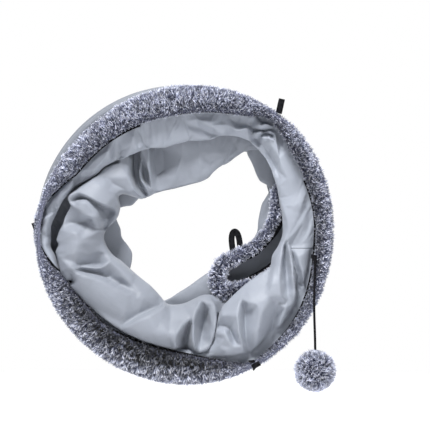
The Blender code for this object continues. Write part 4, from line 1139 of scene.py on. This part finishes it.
def rim_backing(name, hoop, seam_shares, plump_shares, side):
    """Tube of backing for one plush sleeve."""
    angles, length, toward, across = seam_frame(hoop, seam_shares, side)
    half = np.maximum(SLEEVE_HALF * keyed(plump_shares, angles), SLEEVE_LEAST)
    turns = full_turn(SLEEVE_SECTION_STEPS)
    u = -SLEEVE_BACK + (length[:, None] + SLEEVE_BACK) * (1 - np.cos(turns)) / 2
    v = half[:, None] * np.sign(np.sin(turns)) * np.abs(np.sin(turns)) ** 0.7
    section = toward[:, None] * u[..., None] + across[:, None] * v[..., None]
    return tube_object(name, round_hoop(hoop, angles, section), backing_look)


front_backing = rim_backing("front_plush_backing", FRONT, FRONT_SEAM_SHARES, FRONT_PLUMP_SHARES, 1)
rear_backing = rim_backing("rear_plush_backing", REAR, REAR_SEAM_SHARES, REAR_PLUMP_SHARES, -1)
print("backing of the rims:", triangles(front_backing), "triangles each")

# %% Tube round the peek hole
TRIM_BACKING_RADIUS = 0.0060
TRIM_PLUMP_SHARES = [(0, 0.7), (90, 0.78), (112, 0.88), (135, 1.0), (200, 1.0), (225, 0.7)]
TRIM_SECTION_STEPS = 14
trim_turns = full_turn(TRIM_SECTION_STEPS)
trim_plump = keyed(TRIM_PLUMP_SHARES, np.arange(PEEK_STEPS) * 360.0 / PEEK_STEPS)
trim_radius = TRIM_BACKING_RADIUS * trim_plump[:, None]
trim_flat = (peek_line[:, None]
             + peek_inward[:, None] * (trim_radius * np.cos(trim_turns))[..., None])
trim_along = TRIM_ALONG + trim_radius * np.sin(trim_turns)
trim_backing = tube_object("peek_rim_backing", np.stack(
    [trim_flat[..., 0], trim_along, trim_flat[..., 1]], axis=-1), backing_look)
print("backing of the peek hole's rim:", triangles(trim_backing), "triangles")

# %% [markdown]
# ## Black tapes, piping and strap
#
# A black tape binds the plush to the cloth, a thin piping shows beside it, and a ribbon strap goes
# round the rim at the lower right. Each lies on a piece that is already there, so its places are
# read from that piece's own points, which keeps them together when a size changes.

# %% Black tapes
PEEK_TAPE_FIRST, PEEK_TAPE_LAST = 19, 44
PEEK_TAPE_IN = 0.0060
PEEK_TAPE_WIDTHS = [0.0072, 0.0066, 0.0050, 0.0026, 0.0008]
PEEK_TAPE_THICKNESS = 0.0008
TAPE_LENGTH = 0.0042
TAPE_THICKNESS = 0.0012


def peek_tape():
    """Black tape that binds the hole, where the squeezed rim shows it."""
    steps = np.arange(PEEK_TAPE_FIRST, PEEK_TAPE_LAST + 1)
    widths = np.interp(np.linspace(0, 1, len(steps)), np.linspace(0, 1, len(PEEK_TAPE_WIDTHS)),
                       PEEK_TAPE_WIDTHS)
    rings = []
    for line, inward, width in zip(peek_line[steps], peek_inward[steps], widths):
        near, far = (line + inward * (PEEK_TAPE_IN + out) for out in (0, width))
        front, back = TRIM_ALONG, TRIM_ALONG + PEEK_TAPE_THICKNESS
        rings.append([(spot[0], along, spot[1]) for spot, along in
                      ((near, front), (far, front), (far, back), (near, back))])
    return strip_object("peek_tape", rings, ribbon_look)


def binding_tape(name, hoop, seam_shares, side):
    """Black tape that binds the plush to the cloth along a rim's seam."""
    angles, length, toward, across = seam_frame(hoop, seam_shares, side)
    half = TAPE_THICKNESS / 2
    section = np.stack([toward * (length + u * TAPE_LENGTH)[:, None] + across * v for u, v in
                        ((-0.5, -half), (0.5, -half), (0.5, half), (-0.5, half))], axis=1)
    return tube_object(name, round_hoop(hoop, angles, section), ribbon_look)


peek_tape_piece = peek_tape()
front_tape = binding_tape("front_tape", FRONT, FRONT_SEAM_SHARES, 1)
print("tapes:", [triangles(item) for item in (peek_tape_piece, front_tape)], "triangles")

# %% Piping and strap
PIPING_RADIUS = 0.0012
PIPING_STEP = 1.2
PIPING_IN_MM = [
    (0, 4.4), (24, 4.4), (60, 4.0), (112, 3.6), (216, 3.6), (260, 3.0), (300, 2.0), (311, 2.8),
    (325, 3.8), (345, 4.2),
]


def piping(name, low, high):
    """Black cord laid on the lining, just inside the front rim's seam, between two angles."""
    points = object_points(bay_1).reshape(ROUND_STEPS, ACROSS_STEPS, 3)
    centres = []
    for angle in np.arange(low, high, PIPING_STEP):
        k = int(round(angle % 360.0 * ROUND_STEPS / 360.0)) % ROUND_STEPS
        reach = np.hypot(points[k, :, 0] - FRONT.x, points[k, :, 2] - FRONT.z)
        inside = float(keyed(PIPING_IN_MM, angle)) * MM
        wanted = HOOP_RADIUS * float(keyed(FRONT_SEAM_SHARES, angle)) - inside
        j = int(np.argmax(reach < wanted))
        turn, along = math.radians(angle), points[k, j, 1] - PIPING_RADIUS / 2
        centres.append(Vector((FRONT.x + wanted * math.cos(turn), along,
                               FRONT.z + wanted * math.sin(turn))))
    item = round_curve(name, centres, PIPING_RADIUS, 2)
    mesh = shown_mesh(item, name)
    bpy.data.objects.remove(item, do_unlink=True)
    mesh.materials.clear()
    return add_object(name, mesh, ribbon_look)


pipings = [piping("front_piping_right", -59, 24), piping("front_piping_left", 112, 173),
           piping("front_piping_low", 183, 216)]

STRAP_WIDTH = 0.0105
STRAP_OUT = 0.0016
STRAP_KEPT_SHARE = 0.32
STRAP_THICKNESS = 0.0008


def strap(name, angle):
    """Ribbon sewn round the front rim where a loop is fixed."""
    rows = object_points(front_backing).reshape(SLEEVE_ROUND_STEPS, SLEEVE_SECTION_STEPS, 3)
    section = rows[int(round(angle * SLEEVE_ROUND_STEPS / 360.0)) % SLEEVE_ROUND_STEPS]
    run = np.roll(section, -1, axis=0) - np.roll(section, 1, axis=0)
    along, away = np.array(tangent(angle)), np.array(radial(angle))
    out = np.cross(run, along)
    out /= np.linalg.norm(out, axis=1, keepdims=True)
    if ((section - section.mean(axis=0)) * out).sum() < 0:
        out = -out
    reach = section @ away
    inner = mix(reach.max(), reach.min(), STRAP_KEPT_SHARE)
    section = section + np.maximum(inner - reach, 0)[:, None] * away
    top = STRAP_OUT + STRAP_THICKNESS
    points = np.stack([section + out * high + along * wide * STRAP_WIDTH / 2 for high, wide in
                       ((STRAP_OUT, -1), (STRAP_OUT, 1), (top, 1), (top, -1))], axis=1)
    return tube_object(name, points, ribbon_look)


front_strap = strap("front_strap_bottom", angle=298.6)
print("piping and strap:", [triangles(item) for item in [*pipings, front_strap]], "triangles")

# %% [markdown]
# ## Pompom and the cord's end
#
# The pompom is a ball of pile, so it needs only a small ball that the pile can grow from. The cord
# ends in a flat fold of ribbon, and a bevelled box that narrows to its foot is enough for that.

# %% Core of the pompom, and the tab at the cord's end
POMPOM_CORE = 0.0200
KNOT_TOP, KNOT_FOOT = 0.0023, 0.0018
KNOT_ABOVE, KNOT_BELOW = 0.0027, 0.0087
KNOT_THICKNESS = 0.0020
KNOT_EDGE = 0.0004
core_mesh = bmesh.new()
bmesh.ops.create_icosphere(core_mesh, subdivisions=3, radius=POMPOM_CORE)
bmesh.ops.translate(core_mesh, verts=core_mesh.verts, vec=box_middle("pompom"))
pompom_core = edited_object("pompom_core", core_mesh, backing_look)
pompom_core.data.shade_smooth()

knot_mesh = bmesh.new()
bmesh.ops.create_cube(knot_mesh, size=1)
for corner in knot_mesh.verts:
    upper = corner.co.z > 0
    corner.co.x *= 2 * (KNOT_TOP if upper else KNOT_FOOT)
    corner.co.y *= KNOT_THICKNESS
    corner.co.z = KNOT_ABOVE if upper else -KNOT_BELOW
bmesh.ops.bevel(knot_mesh, geom=knot_mesh.edges[:], offset=KNOT_EDGE, segments=2, affect="EDGES")
bmesh.ops.translate(knot_mesh, verts=knot_mesh.verts, vec=CORD_TOP)
cord_end = edited_object("cord_end_tab", knot_mesh, ribbon_look)
print("the cord's end tab is", round((KNOT_ABOVE + KNOT_BELOW) / MM, 1), "mm long")

# %% [markdown]
# ## Pile by Geometry Nodes
#
# Plush is thousands of small tufts, each a lock of fibres that lean together at the tip. Modelling
# one tuft well and letting Geometry Nodes scatter it is the natural way: points are spread over the
# backing, a tuft is put on each, turned to stand on the surface, tilted and sized at random from a
# fixed seed. A few unlike tufts keep the eye from finding the pattern.

# %% One tuft
TUFT_KINDS = 5
TUFT_FIBRES = 8
TUFT_LENGTH = 0.0115
TUFT_SPREAD = 0.0018
TUFT_DRIFT_SHARE = 0.09
TUFT_CURL = 0.0020
TUFT_SINK = 0.6 * MM
FIBRE_WIDTH = 1.0 * MM
FIBRE_LEVEL_SHARES = [0.0, 0.4, 0.75, 1.0]
FIBRE_WIDTH_SHARES = [0.7, 1.0, 0.8, 0.0]


def make_tuft(name, seed):
    """A lock of flat tapered fibres that curl to one side together."""
    random = np.random.default_rng(seed)
    lean = random.uniform(0, 2 * math.pi)
    vertices, faces, tips, strands = [], [], [], []
    for _ in range(TUFT_FIBRES):
        angle = random.uniform(0, 2 * math.pi)
        start = TUFT_SPREAD * math.sqrt(random.uniform(0, 1))
        drift = random.normal(0, TUFT_DRIFT_SHARE, 2) * TUFT_LENGTH
        length = TUFT_LENGTH * random.uniform(0.72, 1.08)
        curl = TUFT_CURL * random.uniform(0.4, 1.4)
        facing = random.uniform(0, math.pi)
        strand = random.uniform(0, 1)
        first = len(vertices)
        for level, share in zip(FIBRE_LEVEL_SHARES, FIBRE_WIDTH_SHARES):
            x = start * math.cos(angle) + drift[0] * level + curl * math.cos(lean) * level**2
            y = start * math.sin(angle) + drift[1] * level + curl * math.sin(lean) * level**2
            z = length * (level - 0.15 * level**3) - TUFT_SINK
            for side in (-1, 1) if share else (0,):
                wide = side * FIBRE_WIDTH * share / 2
                vertices.append((x + wide * math.cos(facing), y + wide * math.sin(facing), z))
                tips.append(level)
                strands.append(strand)
        faces += [(k, k + 1, k + 3, k + 2) for k in (first, first + 2)]
        faces.append((first + 4, first + 5, first + 6))
    mesh = bpy.data.meshes.new(name)
    mesh.from_pydata(vertices, [], faces)
    made = add_object(name, mesh, pile_look)
    set_attribute(made, "tip", tips)
    set_attribute(made, "strand", strands)
    return made


tufts = [make_tuft(f"tuft_{k}", seed=11 + k) for k in range(TUFT_KINDS)]
print("a tuft has", triangles(tufts[0]), "triangles")

# %% Node tree that plants the tufts
def pile_tree():
    """Geometry Nodes: spread points, plant a tuft on each, realize, set the material."""
    tree = bpy.data.node_groups.new("plush_pile", "GeometryNodeTree")
    sockets = {"Backing": "Geometry", "Tufts per square metre": "Float", "Least spacing": "Float",
               "Size": "Float", "Tilt": "Float", "Swirl": "Float", "Swirl scale": "Float",
               "Seed": "Int", "Pile material": "Material"}
    sockets.update({f"Tuft {k}": "Object" for k in range(TUFT_KINDS)})
    for name, kind in sockets.items():
        tree.interface.new_socket(name, in_out="INPUT", socket_type=f"NodeSocket{kind}")
    tree.interface.new_socket("Pile", in_out="OUTPUT", socket_type="NodeSocketGeometry")
    given = tree.nodes.new("NodeGroupInput").outputs
    tilt_most, seed = given["Tilt"], given["Seed"]

    def stored(name, kind="FLOAT"):
        """Socket with a value stored on the backing."""
        node = add_node(tree, "GeometryNodeInputNamedAttribute", {"Name": name}, data_type=kind)
        return node.outputs["Attribute"]

    def chance(kind, inputs):
        """A random value for each tuft."""
        return add_node(tree, "FunctionNodeRandomValue", {**inputs, "Seed": seed}, data_type=kind)

    def vectors(operation, inputs):
        """A node that does one sum with vectors."""
        return add_node(tree, "ShaderNodeVectorMath", inputs, operation=operation)

    spread = add_node(tree, "GeometryNodeDistributePointsOnFaces", {
        "Mesh": given["Backing"], "Distance Min": given["Least spacing"],
        "Density Max": given["Tufts per square metre"], "Seed": seed}, distribute_method="POISSON")
    kinds = tree.nodes.new("GeometryNodeJoinGeometry")
    for k in range(TUFT_KINDS):
        tuft = add_node(tree, "GeometryNodeObjectInfo", {"Object": given[f"Tuft {k}"]})
        tuft = tuft.outputs["Geometry"]
        lone = add_node(tree, "GeometryNodeGeometryToInstance", {"Geometry": tuft})
        set_inputs(tree, kinds, {"Geometry": lone})

    swirl = add_node(tree, "ShaderNodeTexNoise", {"Scale": given["Swirl scale"], "Detail": 2.0})
    centred = vectors("SUBTRACT", {0: swirl.outputs["Color"], 1: (0.5, 0.5, 0.5)})
    lean = vectors("SCALE", {0: centred, "Scale": given["Swirl"]})
    combed = vectors("ADD", {0: lean, 1: spread.outputs["Normal"]})
    brushed = vectors("ADD", {0: combed, 1: stored("comb", "FLOAT_VECTOR")})
    stand = add_node(tree, "FunctionNodeAlignRotationToVector", {"Vector": brushed}, axis="Z")
    minus = math_node(tree, "MULTIPLY", tilt_most, -1.0)
    low = add_node(tree, "ShaderNodeCombineXYZ", {"X": minus, "Y": minus})
    high = add_node(tree, "ShaderNodeCombineXYZ", {
        "X": tilt_most, "Y": tilt_most, "Z": 2 * math.pi})
    turn = chance("FLOAT_VECTOR", {"Min": low, "Max": high}).outputs["Value"]
    euler = add_node(tree, "FunctionNodeEulerToRotation", {"Euler": turn})
    tilt = add_node(tree, "FunctionNodeRotateRotation", {"Rotation": stand, "Rotate By": euler},
                    rotation_space="LOCAL")

    grow = chance("FLOAT", {2: 0.75, 3: 1.15}).outputs[1]
    sized = math_node(tree, "MULTIPLY", grow, given["Size"])
    thick = stored("pile")
    lengthen = math_node(tree, "MULTIPLY", sized, thick)
    broad = math_node(tree, "MULTIPLY", sized, math_node(tree, "SQRT", thick))
    shape = add_node(tree, "ShaderNodeCombineXYZ", {"X": broad, "Y": broad, "Z": lengthen})
    pick = chance("INT", {4: 0, 5: TUFT_KINDS - 1}).outputs[2]
    plant = add_node(tree, "GeometryNodeInstanceOnPoints", {
        "Points": spread.outputs["Points"], "Instance": kinds, "Pick Instance": True,
        "Instance Index": pick, "Rotation": tilt, "Scale": shape})

    # Each tuft's random tint less its stored darkening, which carries the painted shade.
    tint_less_shade = math_node(tree, "SUBTRACT", chance("FLOAT", {}).outputs[1], stored("dark"))
    store = add_node(tree, "GeometryNodeStoreNamedAttribute", {
        "Geometry": plant, "Name": "tint", "Value": tint_less_shade}, data_type="FLOAT", domain="INSTANCE")
    real = add_node(tree, "GeometryNodeRealizeInstances", {"Geometry": store})
    paint = add_node(tree, "GeometryNodeSetMaterial", {
        "Geometry": real, "Material": given["Pile material"]})
    add_node(tree, "NodeGroupOutput", {"Pile": paint})
    return tree


def tree_result(item, tree, values, name):
    """Runs a node tree on an object and gives its result as a plain mesh object."""
    modifier = item.modifiers.new("nodes", "NODES")
    modifier.node_group = tree
    for socket in tree.interface.items_tree:
        if socket.in_out == "INPUT" and socket.name in values:
            modifier[socket.identifier] = values[socket.name]
    item.update_tag()
    mesh = shown_mesh(item, name)
    item.modifiers.remove(modifier)
    return add_object(name, mesh)


PILE_TREE = pile_tree()
print("the tree has", len(PILE_TREE.nodes), "nodes")

# %% Plant the pile
RIM_PIECES = 4
FRONT_PILE_SPACING = 0.0019
REAR_PILE_SPACING = 0.0026
TRIM_PILE_SPACING = 0.0018
POMPOM_PILE_SPACING = 0.0013
TUFTS_PER_AREA = 6.0e5
PILE_TILT = 0.16
POMPOM_TILT = 0.3
PILE_SWIRL = 2.6
PILE_SWIRL_SCALE = 110.0
PILE_COMB = 1.7
SEAM_PILE_LESS = 0.6
EDGE_PILE_LESS = 0.68


def grow_pile(name, backing, spacing, seed, tilt=PILE_TILT):
    """Pile on the whole of a backing mesh."""
    values = {"Tufts per square metre": TUFTS_PER_AREA, "Least spacing": spacing, "Size": 1.0,
              "Tilt": tilt, "Swirl": PILE_SWIRL, "Swirl scale": PILE_SWIRL_SCALE, "Seed": seed,
              "Pile material": pile_look}
    values.update({f"Tuft {k}": tuft for k, tuft in enumerate(tufts)})
    made = tree_result(backing, PILE_TREE, values, name)
    print(name, triangles(made), "triangles")
    return made


def arc_of(backing, first_share, last_share, pile_shares, less_shares, dark_shares):
    """Part of a rim between two shares of its way round, with its pile's length and painted shade."""
    points = object_points(backing)
    section = SLEEVE_SECTION_STEPS
    rounds = len(points) // section
    rows = np.arange(round(first_share * rounds), round(last_share * rounds) + 1) % rounds
    grid = points.reshape(rounds, section, 3)[rows]
    index = np.arange(len(rows) * section).reshape(len(rows), section)
    side = np.roll(index, -1, axis=1)
    faces = np.stack([index[:-1], side[:-1], side[1:], index[1:]], axis=-1).reshape(-1, 4)
    mesh = bpy.data.meshes.new("arc")
    mesh.from_pydata(grid.reshape(-1, 3).tolist(), [], faces.tolist())
    arc = add_object("arc", mesh)
    angles = rows * 360.0 / rounds
    turns = full_turn(section)
    toward_seam = -np.cos(turns)
    kept = (1 - SEAM_PILE_LESS * np.maximum(toward_seam, 0) ** 4
            - EDGE_PILE_LESS * np.maximum(-toward_seam, 0) ** 4)
    less = np.clip(keyed(less_shares, angles), 0, 1)[:, None] * np.maximum(np.sin(turns), 0)
    set_attribute(arc, "pile", keyed(pile_shares, angles)[:, None] * (1 - less) * kept)
    # Painted shade: the 'dark' value darkens the pile, most towards the seam.
    seam_shade_weight = 0.3 + 0.7 * smooth_step((toward_seam + 0.7) / 1.3)
    set_attribute(arc, "dark", keyed(dark_shares, angles)[:, None] * seam_shade_weight)
    comb = np.roll(grid, 1, axis=1) - np.roll(grid, -1, axis=1)
    comb *= PILE_COMB / np.maximum(np.linalg.norm(comb, axis=-1, keepdims=True), 1e-9)
    set_attribute(arc, "comb", comb, "FLOAT_VECTOR", "vector")
    face = mesh.polygons[0]
    if face.normal.dot(face.center - Vector(grid[0].mean(axis=0))) < 0:
        mesh.flip_normals()
    return arc


def rim_pile(name, backing, tables, spacing, seed):
    """Pile round a whole rim, in as many pieces as keep each light."""
    made = []
    for k in range(RIM_PIECES):
        arc = arc_of(backing, k / RIM_PIECES, (k + 1) / RIM_PIECES, *tables)
        made.append(grow_pile(f"{name}_{k + 1}", arc, spacing, seed + k))
        bpy.data.objects.remove(arc, do_unlink=True)
    return made


# %% How long the pile is, and where shade is painted on it
FRONT_PILE_SHARES = [
    (0, 0.75), (25, 0.8), (42, 0.8), (54, 0.6), (70, 0.9), (125, 0.9), (150, 0.8), (160, 0.6),
    (170, 0.32), (177, 0.26), (184, 0.3), (192, 0.48), (206, 0.75), (225, 0.85), (245, 0.95),
    (275, 0.9), (288, 0.7), (295, 0.45), (299, 0.15), (303, 0.5), (320, 0.62), (340, 0.7),
]
INNER_PILE_LESS_SHARES = [(0, 0.0), (155, 0.0), (165, 0.5), (175, 0.6), (185, 0.5), (196, 0.0)]
# Painted shade on the front rim's pile, darkest low on the inner side, under the bulging cloth.
FRONT_PAINTED_SHADE_SHARES = [
    (0, 0.75), (40, 0.6), (70, 0.3), (110, 0.2), (150, 0.2), (180, 0.1), (195, 0.4), (215, 1.1),
    (250, 1.35), (280, 1.25), (300, 0.75), (330, 0.65),
]
REAR_PILE, REAR_LESS, REAR_DARK = 1.0, 0.0, 0.3
REAR_TABLES = [[(0, share), (180, share)] for share in (REAR_PILE, REAR_LESS, REAR_DARK)]
TRIM_PILE_SHARE = 0.75
POMPOM_PILE_SHARE = 0.68
SMALL_PILE_DARK = 0.15

front_pile = rim_pile("front_plush_pile", front_backing,
                      [FRONT_PILE_SHARES, INNER_PILE_LESS_SHARES, FRONT_PAINTED_SHADE_SHARES],
                      FRONT_PILE_SPACING, seed=100)
rear_pile = rim_pile("rear_plush_pile", rear_backing, REAR_TABLES, REAR_PILE_SPACING, seed=200)
for item, lengths in (
        (trim_backing, np.repeat(TRIM_PILE_SHARE * trim_plump, TRIM_SECTION_STEPS)),
        (pompom_core, np.full(len(pompom_core.data.vertices), POMPOM_PILE_SHARE))):
    set_attribute(item, "pile", lengths)
    set_attribute(item, "dark", np.full(len(lengths), SMALL_PILE_DARK))
trim_pile = grow_pile("peek_rim_pile", trim_backing, TRIM_PILE_SPACING, seed=300)
pompom_pile = grow_pile("pompom_pile", pompom_core, POMPOM_PILE_SPACING, seed=400, tilt=POMPOM_TILT)
for tuft in tufts:
    bpy.data.objects.remove(tuft, do_unlink=True)
print("pieces of pile:", len(front_pile), "in front,", len(rear_pile), "behind")

# %% [markdown]
# ## Ribbon loops
#
# Short loops of black ribbon are sewn into the rims for tying the tunnel shut. Each is one strip
# that rises from its root, bends over and comes back. A twist says how far its face is turned.

# %% Ribbon loops
LOOP_LENGTH = 0.026
LOOP_WIDTH = 0.0125
LOOP_NECK = 0.0085
RIBBON_WIDTH = 0.0074
RIBBON_THICKNESS = 0.0013
LOOP_STEPS = 48


def ribbon_loop(name, root, rise, spread, twist, length):
    """A ribbon bent to a loop on its root, its face turned by the twist."""
    rise, spread = rise.normalized(), spread.normalized()
    face = rise.cross(spread).normalized()
    spots, rings = [], []
    for k in range(LOOP_STEPS + 1):
        angle = math.pi * (k / LOOP_STEPS)
        up = length * math.sin(angle) ** 0.75
        out = math.cos(angle) * mix(LOOP_NECK, LOOP_WIDTH, math.sin(angle) ** 0.8) / 2
        spots.append(root + rise * up + spread * out)
    for k, spot in enumerate(spots):
        run = (spots[min(k + 1, LOOP_STEPS)] - spots[max(k - 1, 0)]).normalized()
        normal = face.cross(run).normalized()
        wide = (face * math.cos(twist) + normal * math.sin(twist)) * (RIBBON_WIDTH / 2)
        thick = wide.cross(run).normalized() * (RIBBON_THICKNESS / 2)
        rings.append([spot + wide + thick, spot - wide + thick, spot - wide - thick,
                      spot + wide - thick])
    made = strip_object(name, rings, ribbon_look)
    made.data.shade_smooth()
    made.data.set_sharp_from_angle(angle=math.radians(40))
    return made


ALONG = Vector((0, 1, 0))
STAY = Vector((0, 0, 0))
# rise, spread, twist in radians, length, and how far the photograph has it from the solid
LOOPS = {
    "front_loop_top": (radial(77.5), ALONG, 0.0, 0.017, Vector((-0.0022, 0, -0.0008))),
    "front_loop_left": (ALONG, radial(177), 0.4, LOOP_LENGTH, radial(177) * -0.0040),
    "front_loop_bottom": (ALONG, radial(298), 0.4, LOOP_LENGTH, radial(298) * -0.0072),
    "rear_loop_top": (-radial(60), tangent(60), 0.3, LOOP_LENGTH, STAY),
    "rear_loop_left": (-radial(180), tangent(180), 0.3, LOOP_LENGTH, STAY),
    "rear_loop_bottom": (-radial(300), tangent(300), 0.3, LOOP_LENGTH, STAY),
    "peek_loop": (radial(96), tangent(96), 1.3, LOOP_LENGTH, Vector((-0.0030, 0, -0.0100))),
}
loops = {}
for node, (rise, spread, twist, length, shift) in LOOPS.items():
    root = box_middle(node) - rise * (LOOP_LENGTH / 2) + shift
    loops[node] = ribbon_loop(f"{node}_ribbon", root, rise, spread, twist, length)
print("ribbon loops:", sorted(loops))

# %% [markdown]
# ## Casings of the middle hoops
#
# Between the rims, each wire runs in a narrow channel of the same grey cloth, painted darker as
# shade. The cloth is gathered on the wire, so the channel has a soft uneven edge.

# %% Casings
CASING_REACH = 0.0048
CASING_SWELL = 0.5 * MM
CASING_STEPS = 12
CASING_UV_SIZE = (2 * math.pi * HOOP_RADIUS, 2 * math.pi * CASING_REACH)
PUCKER_COUNTS = (9, 17, 31, 53)


def casing(name, hoop, seed):
    """A soft channel of cloth round a middle hoop."""
    random = np.random.default_rng(seed)
    swell = np.zeros(ROUND_STEPS)
    for count in PUCKER_COUNTS:
        swell += random.uniform(0.1, 0.3) * np.sin(np.radians(ANGLES * count)
                                                   + random.uniform(0, 6.28)) / (1 + count / 30)
    reach = (CASING_REACH + CASING_SWELL * swell)[:, None]
    turns = full_turn(CASING_STEPS)
    section = np.stack([reach * np.cos(turns), reach * np.sin(turns)], axis=-1)
    return tube_object(name, round_hoop(hoop, ANGLES, section), shaded_channel_look, CASING_UV_SIZE)


casings = {k: casing(f"hoop_{k}_channel", hoop, seed=40 + k)
           for k, hoop in ((2, SECOND), (3, THIRD), (4, FOURTH))}
print("channels:", len(casings))

# %% [markdown]
# ## Floor, background and light
#
# The photograph is a studio shot on white. A large soft lamp above and in front gives the gentle
# shading, the world fills the shadows, and the world is plain white only for what the camera and
# reflections see. The floor lies below the hanging tunnel and keeps its shadow.

# %% World
FILL_COLOUR = (0.93, 0.96, 1.0, 1)
FILL_STRENGTH = 0.17
WHITE = (1, 1, 1, 1)
world = bpy.data.worlds.new("studio")
bpy.context.scene.world = world
world.use_nodes = True
sky = world.node_tree
sky.nodes.clear()
ray = sky.nodes.new("ShaderNodeLightPath").outputs
seen = math_node(sky, "MAXIMUM", ray["Is Camera Ray"], ray["Is Glossy Ray"])
seen = math_node(sky, "MAXIMUM", seen, ray["Is Transmission Ray"])
fill = add_node(sky, "ShaderNodeBackground", {"Color": FILL_COLOUR, "Strength": FILL_STRENGTH})
white = add_node(sky, "ShaderNodeBackground", {"Color": WHITE, "Strength": 1.0})
both = add_node(sky, "ShaderNodeMixShader", {"Fac": seen, 1: fill, 2: white})
add_node(sky, "ShaderNodeOutputWorld", {"Surface": both})
print("the world fills with", FILL_STRENGTH)

# %% Floor
FLOOR_DROP = 0.11
FLOOR_RADIUS = 1.5
FLOOR_BACK = 0.05
floor_mesh = bmesh.new()
bmesh.ops.create_circle(floor_mesh, cap_ends=True, segments=96, radius=FLOOR_RADIUS)
floor_look, floor_tree, floor_shader = new_material("floor")
set_inputs(floor_tree, floor_shader, {
    "Base Color": (0.86, 0.86, 0.87, 1), "Roughness": 0.9, "Emission Color": WHITE,
    "Emission Strength": 0.62})
floor = edited_object("floor", floor_mesh, floor_look)
floor.location = (cad_box[0][0] / 2, FLOOR_BACK, cad_box[0][2] - FLOOR_DROP)
print("floor at z", round(floor.location.z, 3))

# %% Lamps, as (place from the first hoop's centre, size in metres, power in watts)
LAMPS = {
    "key": ((-0.25, -0.9, 1.62), 0.5, 58.0),
    "side": ((1.5, -1.0, 0.4), 0.9, 7.0),
    "back": ((0.3, 1.4, 1.2), 1.2, 5.0),
}
aim = Vector((FRONT.x, FRONT.y, FRONT.z))
for name, (away, size, power) in LAMPS.items():
    lamp_data = bpy.data.lights.new(name, "AREA")
    lamp_data.size = size
    lamp_data.energy = power
    lamp = bpy.data.objects.new(name, lamp_data)
    bpy.context.collection.objects.link(lamp)
    place = aim + Vector(away)
    lamp.location = place
    lamp.rotation_euler = (aim - place).to_track_quat("-Z", "Y").to_euler()
print("lamps:", sorted(LAMPS))

# %% [markdown]
# ## Hand the pieces to the frame
#
# Each piece rides on the body that carries it. The cloth of a bay is held by two hoops.

# %% Riders
def hand_over(items, body, node):
    """Puts pieces on a body, in the place of a CAD node if one is named."""
    for item in items:
        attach(item, body)
        if node:
            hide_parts(node)


hand_over([front_backing, *front_pile], "front_ring", "front_plush_sleeve")
hand_over([rear_backing, *rear_pile], "rear_ring", "rear_plush_sleeve")
hand_over([trim_backing, trim_pile], "hoop_3", "peek_plush_trim")
hand_over([peek_tape_piece], "hoop_3", None)
hand_over([pompom_core, pompom_pile], "pompom_hang", "pompom")
hand_over([cord_end], "pompom_knot", "cord_knot")
hand_over([cord], "pompom_hang", "pompom_cord")
hand_over([front_tape, *pipings, front_strap], "front_ring", "front_binding_tape")
LOOP_BODIES = {"front": "front_ring", "rear": "rear_ring", "peek": "hoop_3"}
for node, item in loops.items():
    hand_over([item], LOOP_BODIES[node.split("_")[0]], node)
for number, item in casings.items():
    hand_over([item], f"hoop_{number}", f"hoop_{number}_casing")
print("ribbon loops ride on:", sorted(set(LOOP_BODIES.values())))

# %% Cloth across the joints
BAY_ENDS = [
    (bay_1, "front_ring", "hoop_2", 0.019, 0.034), (bay_2, "hoop_2", "hoop_3", 0.037, 0.053),
    (bay_3, "hoop_3", "hoop_4", 0.055, 0.067), (bay_4, "hoop_4", "rear_ring", 0.069, 0.0785),
]
for k, (bay, first, second, low, high) in enumerate(BAY_ENDS, 1):
    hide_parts(f"bay_{k}_fabric")
    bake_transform(bay)

# %% The last line
bpy.context.scene.view_settings.view_transform = "Standard"
